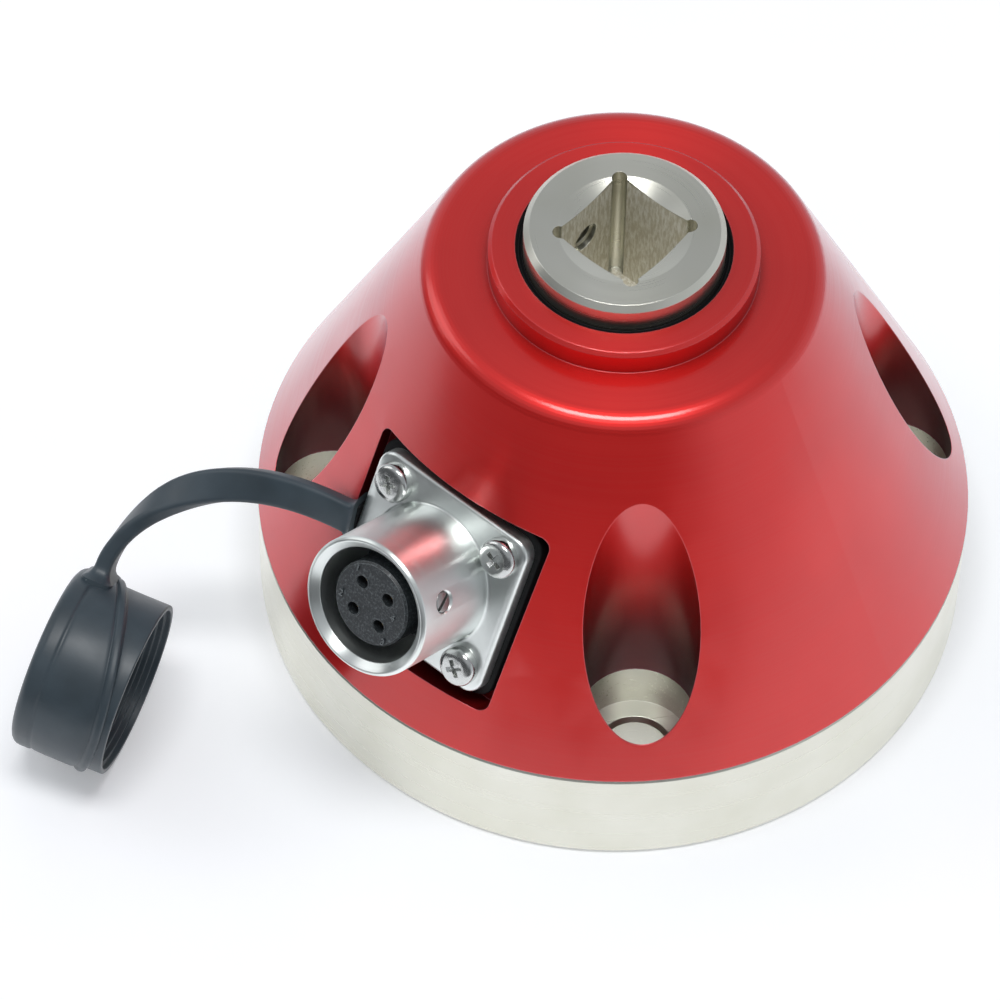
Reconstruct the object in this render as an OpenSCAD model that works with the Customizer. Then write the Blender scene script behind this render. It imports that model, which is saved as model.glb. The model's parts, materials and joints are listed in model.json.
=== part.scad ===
// Static torque sensor: a steel sensing body with a flanged foot and a square drive socket,
// under a turned conical cover with four bolt pockets, a signal connector and a tethered cap.
// The origin is the centre of the underside of the foot. +Z is the torque axis, towards the
// socket. The connector faces -Y. All lengths are in millimetres.

/* [Foot flange] */
// Diameter of the foot and of the cover's lower edge
foot_d = 96; // [94:0.5:110]
// Thickness of the foot
foot_h = 17.5; // [16:0.5:24]
// Depth of the centring register in the underside
register_depth = 2.5; // [1.5:0.1:3.5]
// Diameter of the centring register
register_d = 30; // [24:0.5:36]
// Edge chamfer of the turned steel
foot_chamfer = 0.6; // [0.2:0.1:1.2]

/* [Mounting bolts] */
// Diameter of the mounting bolt circle
bolt_circle_d = 76; // [75:0.25:77]
// Diameter of a bolt's clearance hole
bolt_hole_d = 9; // [7:0.1:10]
// Diameter of a bolt head's pocket in the foot and the cover
bolt_pocket_d = 15.2; // [14:0.1:15.6]
// Height of the pocket floor, where a bolt head seats
bolt_seat_z = 10; // [8:0.5:12]
// Number of mounting bolts
bolt_count = 4; // [4:1:4]

/* [Sensing body] */
// Diameter of the torsion tube that carries the gauges
tube_d = 22; // [21:0.5:24]
// Diameter of the bore up the middle of the torsion tube
tube_bore_d = 12; // [8:0.5:14]
// Radius of the fillets at both ends of the torsion tube
tube_fillet = 3; // [2:0.5:4]
// Height where the torsion tube widens into the head
head_z = 47; // [46:0.5:48]
// Diameter of the head
head_d = 26; // [25:0.25:26.5]
// Edge chamfer of the head
head_chamfer = 0.75; // [0.4:0.05:1]
// Distance from the cover's rim up to the face of the head
head_rise = 3.6; // [3:0.1:4.4]
// Distance across the flats of the square socket
drive_square = 12.7; // [12.5:0.05:12.9]
// Depth of the square socket
drive_depth = 20; // [16:0.5:20]
// Diameter of the relief bore in each corner of the socket
corner_relief_d = 2; // [1.6:0.1:2.4]
// Distance from the axis to the centre of each relief bore
corner_relief_offset = 8.3; // [8.1:0.05:8.6]
// Largest diameter of the lead-in cone of the socket
lead_in_d = 17.2; // [16.5:0.1:18]
// Depth of the lead-in cone at the middle of a flat
lead_in_depth = 0.7; // [0.5:0.05:1.2]
// Core diameter of the threaded cross hole in the socket wall
cross_hole_d = 4.2; // [3.4:0.1:4.4]
// Depth of the cross hole's axis below the head's face
cross_hole_drop = 7.2; // [7:0.1:9]

/* [Cover] */
// Height of the flat top shoulder of the cover
shoulder_z = 65.9; // [64:0.1:68]
// Lean of the cone from the vertical, in degrees
cone_angle = 25; // [24:0.1:25.5]
// Radius between the cone and the top shoulder
cone_fillet = 3; // [2:0.25:4]
// Diameter of the raised rim round the head
rim_d = 35; // [34:0.25:36]
// Height of the raised rim above the shoulder
rim_h = 3.6; // [3.2:0.1:4.2]
// Radial gap between the head and the rim, closed by the seal
rim_gap = 1; // [0.8:0.05:1.2]
// Diameter of the hollow inside the cover
hollow_d = 54; // [52:0.5:55]
// Height where the hollow starts to narrow
hollow_taper_z = 40; // [38:0.5:42]
// Wall of the cover under the top shoulder
crown_wall = 4; // [3:0.25:5]

/* [Cover screws] */
// Diameter of the circle of the cover's fixing screws
cover_screw_circle_d = 68; // [66:0.5:69]
// Thread diameter of a cover screw
cover_screw_d = 4; // [3:0.5:4]
// Head diameter of a cover screw
cover_screw_head_d = 7; // [6.5:0.1:7.2]
// Length of a cover screw under its head
cover_screw_length = 16; // [14:0.5:17]
// Depth of a cover screw's head below the underside of the foot
cover_screw_sink = 1.6; // [1:0.1:2.4]

/* [Seals] */
// Thickness of the rubber seal round the head
shaft_seal_h = 1.7; // [1.4:0.1:1.9]
// Distance from the rim's top down to the seal
shaft_seal_drop = 0.5; // [0.3:0.05:0.6]
// Depth of the seal's groove in the rim
seal_groove = 1; // [0.6:0.1:1.2]
// Cord diameter of the ring between the foot and the cover
base_seal_cord = 1.6; // [1.4:0.1:1.7]

/* [Signal connector] */
// Distance from a flange screw's axis to the edge of the square flange
flange_edge = 3.5; // [3.2:0.1:3.8]
// Thickness of the connector flange
flange_t = 2; // [1.6:0.1:2.4]
// Corner radius of the connector flange
flange_corner = 2.8; // [2:0.1:3.4]
// Gap between the barrel and the head of a flange screw
flange_screw_gap = 0.53; // [0.5:0.01:0.7]
// Level distance from the cone's surface in to the middle of the flange's front face
flange_sink = 1.2; // [0.8:0.1:1.6]
// Height of the middle of the flange's front face
flange_z = 37; // [36:0.1:38]
// Diameter of the connector barrel
barrel_d = 19; // [18.6:0.1:19.2]
// Length of the barrel in front of the flange
barrel_length = 13.85; // [12:0.05:15]
// Diameter of the barrel's bore
barrel_bore_d = 15.7; // [15.2:0.1:16]
// Depth of the bevel at the barrel's mouth
mouth_bevel = 0.9; // [0.5:0.1:1.2]
// Diameter of the insulator's front
insulator_d = 11.6; // [11:0.1:12]
// Distance from the mouth back to the insulator's face
insulator_recess = 1.25; // [1:0.05:2]
// Number of contacts
contact_count = 4; // [4:1:4]
// Diameter of the circle of contacts
contact_circle_d = 6.1; // [5.8:0.1:6.4]
// Outer diameter of a contact
contact_d = 1.7; // [1.5:0.1:1.9]

/* [Tethered cap] */
// Thickness of the rubber plate under the flange
gasket_t = 2; // [1.6:0.1:2.2]
// How far the rubber plate reaches past the flange on each side
gasket_margin = 0.9; // [0.5:0.1:1]
// Gap between the flange and the wall of its recess
recess_margin = 1.7; // [1.6:0.1:1.9]
// Thickness of the strap
strap_t = 2.3; // [2:0.1:2.5]
// Width of the strap
strap_w = 4.5; // [4:0.1:5]
// Width of the strap where it leaves the plate
strap_root_w = 5.2; // [5:0.1:6]
// Inner diameter of the cap
cap_bore_d = 19.4; // [19.3:0.1:20]
// Outer diameter of the cap's mouth
cap_mouth_d = 24.2; // [23.8:0.1:24.4]
// Outer diameter of the cap's collar
cap_collar_d = 25.2; // [25:0.1:25.4]
// Outer diameter of the beads round the cap
cap_bead_d = 26; // [25.8:0.1:26.4]
// Length of the cap
cap_length = 12.5; // [12:0.1:14]
// Thickness of the cap's closed end
cap_end_t = 2; // [1.6:0.1:2.4]
// Distance from the edge of the foot to the middle of the cap's closed end
cap_gap = 31.2; // [30:0.2:36]
// Direction from the torque axis to the cap, in degrees from +X
cap_bearing = 240.5; // [236:0.5:243]
// Direction that the cap's mouth faces, in degrees from +X
cap_heading = 20; // [17:0.5:23]
// Dip of the cap's mouth below the horizontal, in degrees
cap_dip = 8; // [6:0.5:10]
// Height of the cap's lowest point above the underside of the foot
cap_clearance = 0.5; // [0.4:0.1:2]

/* [Hidden] */
$fn = 96;
overcut = 1;
slip = 0.05;
thread_slip = 0.05;

// Derived heights and radii of the body and the cover
foot_r = foot_d / 2;
cone_slope = tan(cone_angle);
rim_top_z = shoulder_z + rim_h;
total_h = rim_top_z + head_rise;
head_r = head_d / 2;
tube_r = tube_d / 2;
rim_bore_r = head_r + rim_gap;
rim_r = rim_d / 2;
socket_floor_z = total_h - drive_depth;
bolt_circle_r = bolt_circle_d / 2;
first_bolt_angle = 45;
cover_screw_circle_r = cover_screw_circle_d / 2;
cover_screw_head_h = 4;
cover_screw_seat_z = cover_screw_head_h + cover_screw_sink;
cover_screw_hole_r = cover_screw_d / 2 + 0.2;
base_seal_r = (hollow_d / 2 + cover_screw_circle_r - cover_screw_hole_r) / 2;
hollow_top_z = shoulder_z - crown_wall;
cover_screw_tip_z = cover_screw_seat_z + cover_screw_length;
crown_step = 4.5;
hollow_top_r = head_r + crown_step;
rim_chamfer = 0.5;

// Derived sizes of the connector, in its own frame: +Z out of the cover, Y up the cone
flange_radius = foot_r - (flange_z - foot_h) * cone_slope - flange_sink;
barrel_r = barrel_d / 2;
barrel_fillet = 0.4;
flange_screw_head_d = 5.4;
screw_half = (barrel_r + flange_screw_gap + flange_screw_head_d / 2) / sqrt(2);
flange_half = screw_half + flange_edge;
spigot_length = 11;
spigot_r = barrel_r + 0.1;
recess_depth = flange_t + gasket_t;
recess_half = flange_half + recess_margin;
recess_corner = 1.6;
recess_reach = 2.4 * flange_half;
insert_root_z = 3;
insulator_face_z = barrel_length - insulator_recess;
contact_tail = 4.5;
contact_back_z = -spigot_length - contact_tail;
insert_screw_d = 2.8;
insert_screw_z = 9.3;
insert_screw_angle = 30;
insert_screw_length = barrel_r - barrel_bore_d / 2 - 0.15;
flange_screw_d = 2.5;
flange_screw_head_h = 1.8;
flange_screw_length = 9;
flange_screw_room = 1;
flange_screw_hole = flange_screw_length + flange_screw_room - recess_depth;
gasket_half = flange_half + gasket_margin;

// Derived sizes of the terminal board
board_z = foot_h + 6;
board_t = 1.6;
board_inner_r = tube_r + 2;
board_outer_r = 22;
board_screw_r = 18;
board_screw_angles = [90, 210, 330];
board_screw_d = 2.4;
board_screw_head_d = 4.6;
board_screw_grip = 4;
board_hole_d = 2.6;
board_post_d = 5;

// Derived sizes and places of the cap, in its own frame: +Z out of its mouth
cap_bead_r = cap_bead_d / 2;
cap_collar_r = cap_collar_d / 2;
cap_drop = cap_length * sin(cap_dip) + cap_mouth_d / 2 * cos(cap_dip);
cap_reach = foot_r + cap_gap;
cap_centre = [cap_reach * cos(cap_bearing), cap_reach * sin(cap_bearing), cap_drop + cap_clearance];
cap_bead_w = 2.2;
collar_middle = 6;
collar_slant = 17.5;
collar_long_side = 245;
collar_bead_w = 1.2;
collar_depth = cap_length + 1.5;
collar_bead_r = cap_bead_r - 0.15;
stub_angle = 135;
stub_z = 2.4;
hinge_gap = 0.3;
stub_reach = cap_bead_r + 0.3;
strap_r = strap_t / 2;

// The strap's run, in the frame of the whole sensor
out = [0, -cos(cone_angle), sin(cone_angle)];
up_cone = [0, sin(cone_angle), cos(cone_angle)];
flange_centre = [0, -flange_radius, flange_z];
riser_x = flange_half + 1.5;
strap_start = flange_centre - [riser_x + hinge_gap + strap_r, 0, 0] + out * 0.2 - up_cone * 0.4;
strap_leave_out = 10;
strap_leave_down = 5;
strap_start_dir = unit([-1, 0, 0] + out * tan(strap_leave_out) - up_cone * tan(strap_leave_down));
strap_start_pull = 24;
cap_axis = [cos(cap_dip) * cos(cap_heading), cos(cap_dip) * sin(cap_heading), -sin(cap_dip)];
cap_side = [-sin(cap_heading), cos(cap_heading), 0];
cap_up = cross(cap_axis, cap_side);
stub_dir = cap_side * sin(stub_angle) - cap_up * cos(stub_angle);
strap_end = cap_centre + cap_axis * stub_z + stub_dir * (stub_reach + hinge_gap + strap_r);
strap_end_pull = 3;
strap_end_across = unit(cross(stub_dir, cap_axis));
strap_rings = 28;
strap_flare = 18;
strap_corner = 0.5;

function unit(v) = v / norm(v);
function bezier(p, t) =
    pow(1 - t, 3) * p[0] + 3 * pow(1 - t, 2) * t * p[1] + 3 * (1 - t) * t * t * p[2] + pow(t, 3) * p[3];
function bezier_dir(p, t) =
    unit(pow(1 - t, 2) * (p[1] - p[0]) + 2 * (1 - t) * t * (p[2] - p[1]) + t * t * (p[3] - p[2]));
function arc_points(centre, r, from, to, steps) =
    [for (i = [0:steps]) let (a = from + (to - from) * i / steps) centre + r * [cos(a), sin(a)]];

// Closed solid through a list of rings that all have the same number of points
module lofted(rings) {
    n = len(rings[0]);
    last = len(rings) - 1;
    points = [for (ring = rings) for (p = ring) p];
    sides = [for (i = [0:last - 1]) for (j = [0:n - 1])
        [i * n + j, (i + 1) * n + j, (i + 1) * n + (j + 1) % n, i * n + (j + 1) % n]];
    halves = [for (q = sides) for (h = [0, 1]) h == 0 ? [q[0], q[1], q[2]] : [q[0], q[2], q[3]]];
    first_end = [for (j = [1:n - 2]) [0, j, j + 1]];
    last_end = [for (j = [1:n - 2]) [last * n, last * n + j + 1, last * n + j]];
    polyhedron(points, concat(halves, first_end, last_end));
}

module round_square(half, corner, h) {
    linear_extrude(h) {
        square([2 * half, 2 * (half - corner)], center = true);
        square([2 * (half - corner), 2 * half], center = true);
        for (x = [-1, 1]) {
            for (y = [-1, 1]) {
                translate([x, y] * (half - corner)) circle(corner);
            }
        }
    }
}

module at_connector() {
    translate(flange_centre) rotate([90 - cone_angle, 0, 0]) children();
}

module at_cap() {
    translate(cap_centre) rotate([0, 90 + cap_dip, cap_heading]) children();
}

module at_bolts() {
    for (i = [0:bolt_count - 1]) {
        rotate(first_bolt_angle + i * 360 / bolt_count) translate([bolt_circle_r, 0, 0]) children();
    }
}

module at_cover_screws() {
    for (i = [0:3]) {
        rotate(i * 90) translate([cover_screw_circle_r, 0, 0]) children();
    }
}

module at_flange_screws() {
    for (x = [-1, 1]) {
        for (y = [-1, 1]) {
            translate([x, y, 0] * screw_half) children();
        }
    }
}

module at_board_screws() {
    for (a = board_screw_angles) {
        rotate(a) translate([board_screw_r, 0, 0]) children();
    }
}

// Half section of the steel body: foot, torsion tube and head in one piece
module body_profile() {
    neck = head_z - tube_fillet;
    flare_from = 132;
    polygon(concat(
        [[0, 0], [foot_r - foot_chamfer, 0], [foot_r, foot_chamfer]],
        [[foot_r, foot_h - foot_chamfer], [foot_r - foot_chamfer, foot_h]],
        arc_points([tube_r + tube_fillet, foot_h + tube_fillet], tube_fillet, 270, 180, 8),
        arc_points([tube_r + tube_fillet, neck], tube_fillet, 180, flare_from, 5),
        [[head_r, head_z + 1], [head_r, total_h - head_chamfer]],
        [[head_r - head_chamfer, total_h], [0, total_h]]
    ));
}

module square_socket() {
    translate([0, 0, socket_floor_z + drive_depth / 2 + overcut / 2])
        cube([drive_square, drive_square, drive_depth + overcut], center = true);
    for (i = [0:3]) {
        rotate(45 + 90 * i) translate([corner_relief_offset, 0, socket_floor_z])
            cylinder(d = corner_relief_d, h = drive_depth + overcut);
    }
    past = overcut * 2 * lead_in_depth / (lead_in_d - drive_square);
    translate([0, 0, total_h - lead_in_depth - past]) cylinder(
        r1 = drive_square / 2 - overcut, r2 = lead_in_d / 2 + overcut, h = lead_in_depth + 2 * past);
    translate([0, 0, total_h - cross_hole_drop]) rotate([0, -90, 0])
        cylinder(d = cross_hole_d, h = head_r + overcut);
}

module sensing_body() {
    color("silver") difference() {
        rotate_extrude() body_profile();
        translate([0, 0, -overcut]) cylinder(d = register_d, h = register_depth + overcut);
        translate([0, 0, -overcut]) cylinder(d = tube_bore_d, h = head_z + overcut);
        square_socket();
        at_bolts() {
            translate([0, 0, -overcut]) cylinder(d = bolt_hole_d, h = foot_h);
            translate([0, 0, bolt_seat_z]) cylinder(d = bolt_pocket_d, h = foot_h);
            translate([0, 0, bolt_seat_z - foot_chamfer])
                cylinder(d1 = bolt_hole_d, d2 = bolt_hole_d + 4 * foot_chamfer, h = 2 * foot_chamfer);
        }
        at_cover_screws() {
            translate([0, 0, -overcut])
                cylinder(d = cover_screw_head_d + 0.5, h = cover_screw_seat_z + overcut);
            cylinder(r = cover_screw_hole_r, h = foot_h + overcut);
        }
        at_board_screws() translate([0, 0, foot_h - board_screw_grip - overcut])
            cylinder(d = board_hole_d, h = board_screw_grip + 2 * overcut);
        translate([0, 0, foot_h - base_seal_cord]) difference() {
            cylinder(r = base_seal_r + base_seal_cord / 2 + 0.15, h = base_seal_cord + overcut);
            translate([0, 0, -overcut])
                cylinder(r = base_seal_r - base_seal_cord / 2 - 0.15, h = base_seal_cord + 3 * overcut);
        }
    }
}

// Half section of the cover: cone, rounded top edge, flat shoulder, raised rim and hollow
module cover_profile() {
    fillet_z = shoulder_z - cone_fillet;
    fillet_r = foot_r - (fillet_z - foot_h) * cone_slope - cone_fillet / cos(cone_angle);
    polygon(concat(
        [[hollow_d / 2, foot_h], [foot_r, foot_h]],
        arc_points([fillet_r, fillet_z], cone_fillet, cone_angle, 90, 8),
        [[rim_r, shoulder_z], [rim_r, rim_top_z - rim_chamfer], [rim_r - rim_chamfer, rim_top_z]],
        [[rim_bore_r, rim_top_z], [rim_bore_r, hollow_top_z], [hollow_top_r, hollow_top_z]],
        [[hollow_d / 2, hollow_taper_z]]
    ));
}

module connector_recess() {
    at_connector() {
        translate([0, 0, -recess_depth]) round_square(recess_half, recess_corner, recess_reach);
        translate([0, 0, -2 * spigot_length]) cylinder(r = spigot_r + 0.2, h = 2 * spigot_length);
        at_flange_screws() translate([0, 0, -recess_depth - flange_screw_hole])
            cylinder(d = flange_screw_d + 2 * thread_slip, h = flange_screw_hole + overcut);
    }
}

module cover() {
    color("firebrick") difference() {
        rotate_extrude() cover_profile();
        at_bolts() translate([0, 0, foot_h - overcut]) cylinder(d = bolt_pocket_d, h = total_h);
        connector_recess();
        at_cover_screws() translate([0, 0, foot_h - overcut])
            cylinder(d = cover_screw_d + 2 * thread_slip, h = cover_screw_tip_z - foot_h + 2 * overcut);
        translate([0, 0, rim_top_z - shaft_seal_drop - shaft_seal_h - 0.05])
            cylinder(r = rim_bore_r + seal_groove, h = shaft_seal_h + 0.1);
    }
}

module shaft_seal() {
    outer = rim_bore_r + seal_groove - slip;
    inner = head_r + slip;
    top = rim_top_z - shaft_seal_drop;
    lip = 0.35;
    color("black") rotate_extrude()
        polygon([
            [inner, top - shaft_seal_h + lip], [inner + lip, top - shaft_seal_h],
            [outer, top - shaft_seal_h], [outer, top], [inner + lip, top], [inner, top - lip]
        ]);
}

module base_seal() {
    color("dimgray") rotate_extrude()
        translate([base_seal_r, foot_h - base_seal_cord / 2]) circle(d = base_seal_cord - 0.02);
}

module cover_screw() {
    socket_key = 3;
    key_depth = 2;
    difference() {
        union() {
            translate([0, 0, cover_screw_seat_z - cover_screw_head_h])
                cylinder(d = cover_screw_head_d, h = cover_screw_head_h);
            translate([0, 0, cover_screw_seat_z]) cylinder(d = cover_screw_d, h = cover_screw_length);
        }
        translate([0, 0, cover_screw_seat_z - cover_screw_head_h - overcut])
            cylinder(d = socket_key / cos(30), h = key_depth + overcut, $fn = 6);
    }
}

module cover_screws() {
    color("darkgray") at_cover_screws() cover_screw();
}

// A foil gauge bonded round a part of the torsion tube, centred on one direction
module gauge(direction) {
    span = 44;
    gauge_h = 9;
    middle = (board_z + head_z) / 2 - 1;
    color("tan") rotate(direction - span / 2) rotate_extrude(angle = span)
        translate([tube_r + 0.02, middle - gauge_h / 2]) square([0.2, gauge_h]);
}

module terminal_board() {
    color("darkgreen") difference() {
        translate([0, 0, board_z]) cylinder(r = board_outer_r, h = board_t);
        translate([0, 0, board_z - overcut]) cylinder(r = board_inner_r, h = board_t + 2 * overcut);
        at_board_screws() translate([0, 0, board_z - overcut])
            cylinder(d = board_hole_d + 2 * slip, h = board_t + 2 * overcut);
    }
}

module board_standoffs() {
    color("goldenrod") at_board_screws() difference() {
        translate([0, 0, foot_h]) cylinder(d = board_post_d, h = board_z - foot_h, $fn = 6);
        translate([0, 0, foot_h - overcut]) cylinder(d = board_hole_d, h = board_z - foot_h + 2 * overcut);
    }
}

module board_screws() {
    head_h = 1.6;
    color("silver") at_board_screws() {
        translate([0, 0, board_z + board_t]) cylinder(d = board_screw_head_d, h = head_h);
        translate([0, 0, foot_h - board_screw_grip])
            cylinder(d = board_screw_d, h = board_z + board_t - foot_h + board_screw_grip);
    }
}

function contact_angle(number) = 135 + (number - 1) * 360 / contact_count;
function contact_place(number) =
    contact_circle_d / 2 * [cos(contact_angle(number)), sin(contact_angle(number))];
function from_connector(p) = flange_centre + [p[0], 0, 0] + up_cone * p[1] + out * p[2];

// A wire from the solder cup of a contact down to its pad on the terminal board
module lead(number, pad_angle) {
    wire_r = 0.5;
    cup = contact_place(number);
    start = from_connector([cup[0], cup[1], contact_back_z - 0.1]);
    pad_r = board_inner_r + 3.5;
    finish = [pad_r * cos(pad_angle), pad_r * sin(pad_angle), board_z + board_t + 0.05];
    run = [start, start - out * 4, finish + [0, 0, 5], finish];
    rings = [for (i = [0:12]) let (
        t = i / 12,
        along = bezier_dir(run, t),
        side = unit(cross(along, [1, 0, 0])),
        over = cross(along, side)
    ) [for (j = [0:7]) bezier(run, t) + wire_r * (side * cos(j * 45) + over * sin(j * 45))]];
    lofted(rings);
}

module lead_red() {
    color("red") lead(1, 222);
}

module lead_black() {
    color("black") lead(2, 252);
}

module lead_green() {
    color("green") lead(3, 288);
}

module lead_white() {
    color("white") lead(4, 318);
}

module connector_shell() {
    rim_edge = 0.4;
    fillet_middle = [barrel_r + barrel_fillet, barrel_fillet];
    color("lightgray") at_connector() difference() {
        union() {
            translate([0, 0, -flange_t]) round_square(flange_half, flange_corner, flange_t);
            rotate_extrude() polygon(concat(
                [[0, -spigot_length], [spigot_r, -spigot_length], [spigot_r, -flange_t / 2]],
                [[barrel_r + barrel_fillet, -flange_t / 2]],
                arc_points(fillet_middle, barrel_fillet, 270, 180, 4),
                [[barrel_r, barrel_length - rim_edge], [barrel_r - rim_edge, barrel_length]],
                [[0, barrel_length]]
            ));
        }
        translate([0, 0, -spigot_length - overcut])
            cylinder(d = barrel_bore_d, h = spigot_length + barrel_length + 2 * overcut);
        translate([0, 0, barrel_length - mouth_bevel])
            cylinder(d1 = barrel_bore_d, d2 = barrel_d - 3 * rim_edge, h = mouth_bevel + 0.001);
        at_flange_screws() translate([0, 0, -flange_t - overcut])
            cylinder(d = flange_screw_d + 0.3, h = flange_t + 2 * overcut);
        rotate(insert_screw_angle) translate([0, 0, insert_screw_z]) rotate([0, 90, 0])
            cylinder(d = insert_screw_d + 2 * thread_slip, h = barrel_d);
    }
}

module connector_insert() {
    insert_r = barrel_bore_d / 2 - slip;
    color("#202024") at_connector() difference() {
        rotate_extrude() polygon([
            [0, -spigot_length], [insert_r, -spigot_length], [insert_r, insert_root_z],
            [insulator_d / 2, insert_root_z], [insulator_d / 2, insulator_face_z - 0.3],
            [insulator_d / 2 - 0.3, insulator_face_z], [0, insulator_face_z]
        ]);
        for (number = [1:contact_count]) {
            translate([contact_place(number)[0], contact_place(number)[1], -spigot_length - overcut])
                cylinder(d = contact_d + 2 * slip, h = spigot_length + insulator_face_z + 2 * overcut);
        }
    }
}

// A turned socket contact with a bored front and a solder cup behind
module contact(number) {
    sink = 2.2;
    bore_d = contact_d - 0.7;
    place = contact_place(number);
    color("gold") at_connector() translate([place[0], place[1], 0]) difference() {
        translate([0, 0, contact_back_z])
            cylinder(d = contact_d, h = insulator_face_z - sink - contact_back_z);
        translate([0, 0, insulator_face_z - 8]) cylinder(d = bore_d, h = 8 + overcut);
        translate([0, 0, contact_back_z - overcut]) cylinder(d = bore_d, h = 2 + overcut);
    }
}

module insert_screw() {
    slot_w = 0.5;
    slot_depth = 0.6;
    front = barrel_r - 0.1;
    color("gray") at_connector() rotate(insert_screw_angle) translate([0, 0, insert_screw_z])
        rotate([0, 90, 0]) difference() {
            translate([0, 0, front - insert_screw_length])
                cylinder(d = insert_screw_d, h = insert_screw_length);
            translate([0, 0, front - slot_depth / 2 + overcut / 2])
                cube([insert_screw_d + overcut, slot_w, slot_depth + overcut], center = true);
        }
}

// A pan head screw with a cross recess, its head seated on the flange
module flange_screw() {
    crown = 0.5;
    recess_w = 0.7;
    recess_l = 3;
    recess_h = 1;
    difference() {
        union() {
            cylinder(d = flange_screw_head_d, h = flange_screw_head_h - crown);
            translate([0, 0, flange_screw_head_h - crown])
                cylinder(d1 = flange_screw_head_d, d2 = flange_screw_head_d - 4 * crown, h = crown);
            translate([0, 0, -flange_screw_length])
                cylinder(d = flange_screw_d, h = flange_screw_length + crown);
        }
        for (a = [45, 135]) {
            translate([0, 0, flange_screw_head_h - recess_h / 2 + overcut / 2])
                rotate(a) cube([recess_l, recess_w, recess_h + overcut], center = true);
        }
    }
}

module flange_screws() {
    color("lightgray") at_connector() at_flange_screws() flange_screw();
}

// The rubber plate under the flange, with the riser that brings the strap out of the recess
module cap_gasket() {
    riser_t = 1.3;
    riser_top = strap_t / 2 + 0.4;
    color("#2a2c30") at_connector() difference() {
        union() {
            translate([0, 0, -recess_depth]) round_square(gasket_half, flange_corner, gasket_t);
            translate([-riser_x, -strap_root_w / 2 - 0.4, -recess_depth])
                cube([riser_t, strap_root_w, recess_depth + riser_top]);
        }
        translate([0, 0, -recess_depth - overcut]) cylinder(r = spigot_r + 0.2, h = gasket_t + 2 * overcut);
        at_flange_screws() translate([0, 0, -recess_depth - overcut])
            cylinder(d = flange_screw_d + 0.3, h = gasket_t + 2 * overcut);
    }
}

// Outline of the strap's section: a flat bar with cut corners, across and through the strap
function strap_section(w, t) = let (a = w / 2, b = t / 2, c = min(strap_corner, b * 0.6)) [
    [a, b - c], [a - c, b], [c - a, b], [-a, b - c], [-a, c - b], [c - a, -b], [a - c, -b], [a, c - b]
];

// One ring of the strap. Past its two ends, the strap closes with a half round
function strap_ring(run, t, beyond) =
    let (
        along = bezier_dir(run, t),
        turned = unit(up_cone * (1 - t) + strap_end_across * t),
        across = unit(turned - along * (turned * along)),
        through = cross(along, across),
        flare = strap_w + (strap_root_w - strap_w) * pow(1 - t, strap_flare),
        at = bezier(run, t) + along * strap_r * sin(beyond),
        thick = strap_t * cos(beyond)
    )
    [for (p = strap_section(flare, thick)) at + across * p[0] + through * p[1]];

module cap_strap() {
    run = [
        strap_start, strap_start + strap_start_dir * strap_start_pull,
        strap_end + stub_dir * strap_end_pull, strap_end
    ];
    start_rings = [for (a = [-80, -60, -40, -20]) strap_ring(run, 0, a)];
    middle_rings = [for (i = [0:strap_rings]) strap_ring(run, i / strap_rings, 0)];
    end_rings = [for (a = [20, 40, 60, 80]) strap_ring(run, 1, a)];
    color("#3a3e46") lofted(concat(start_rings, middle_rings, end_rings));
}

// The slanting plane where the cap's collar ends, raised along the cap's axis
module above_collar(rise, depth) {
    translate([0, 0, collar_middle]) rotate(collar_long_side) rotate([0, -collar_slant, 0])
        translate([0, 0, rise + depth / 2]) cube([2.4 * cap_bead_d, 2.4 * cap_bead_d, depth], center = true);
}

module dust_cap() {
    lip = 0.5;
    mouth_r = cap_mouth_d / 2;
    bore_r = cap_bore_d / 2;
    rib_z = cap_length - 3.2;
    rib_h = 0.25;
    rib_slope = 0.3;
    rib_top_z = rib_z + 0.7;
    color("#3a3e46") at_cap() difference() {
        union() {
            rotate_extrude() polygon([
                [0, 0], [cap_bead_r - lip, 0], [cap_bead_r, lip], [cap_bead_r, cap_bead_w - 0.3],
                [cap_bead_r - 0.3, cap_bead_w], [mouth_r, cap_bead_w], [mouth_r, cap_length - lip],
                [mouth_r - lip, cap_length], [0, cap_length]
            ]);
            intersection() {
                translate([0, 0, 0.6]) cylinder(r = cap_collar_r, h = cap_length - 1);
                above_collar(-collar_depth, collar_depth);
            }
            intersection() {
                translate([0, 0, 0.6]) cylinder(r = collar_bead_r, h = cap_length - 1);
                above_collar(0, collar_bead_w);
            }
            rotate(stub_angle) translate([mouth_r - 1, -strap_w / 2, stub_z - strap_r])
                cube([stub_reach - mouth_r + 1, strap_w, strap_t]);
        }
        rotate_extrude() polygon([
            [0, cap_end_t], [bore_r, cap_end_t], [bore_r, rib_z], [bore_r - rib_h, rib_z + rib_slope],
            [bore_r - rib_h, rib_top_z], [bore_r, rib_top_z + rib_slope], [bore_r, cap_length - lip],
            [bore_r + lip, cap_length], [bore_r + lip, cap_length + overcut], [0, cap_length + overcut]
        ]);
    }
}

sensing_body();
cover();
shaft_seal();
base_seal();
cover_screws();
gauge(0);  // gauge_right
gauge(90);  // gauge_rear
gauge(180);  // gauge_left
gauge(270);  // gauge_front
terminal_board();
board_standoffs();
board_screws();
lead_red();
lead_black();
lead_green();
lead_white();
connector_shell();
connector_insert();
contact(1);  // contact_1
contact(2);  // contact_2
contact(3);  // contact_3
contact(4);  // contact_4
insert_screw();
flange_screws();
cap_gasket();
cap_strap();
dust_cap();
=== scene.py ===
# %% [markdown]
# # Static torque sensor
# A static torque sensor is bolted down by its steel foot. A wrench or a motor pushes its square
# drive into the head, and strain gauges on the hidden torsion tube feel the twist. A red conical
# cover keeps the gauges dry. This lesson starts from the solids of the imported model, which already
# have their right size and place, and gives each surface the finish of the real thing.

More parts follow.
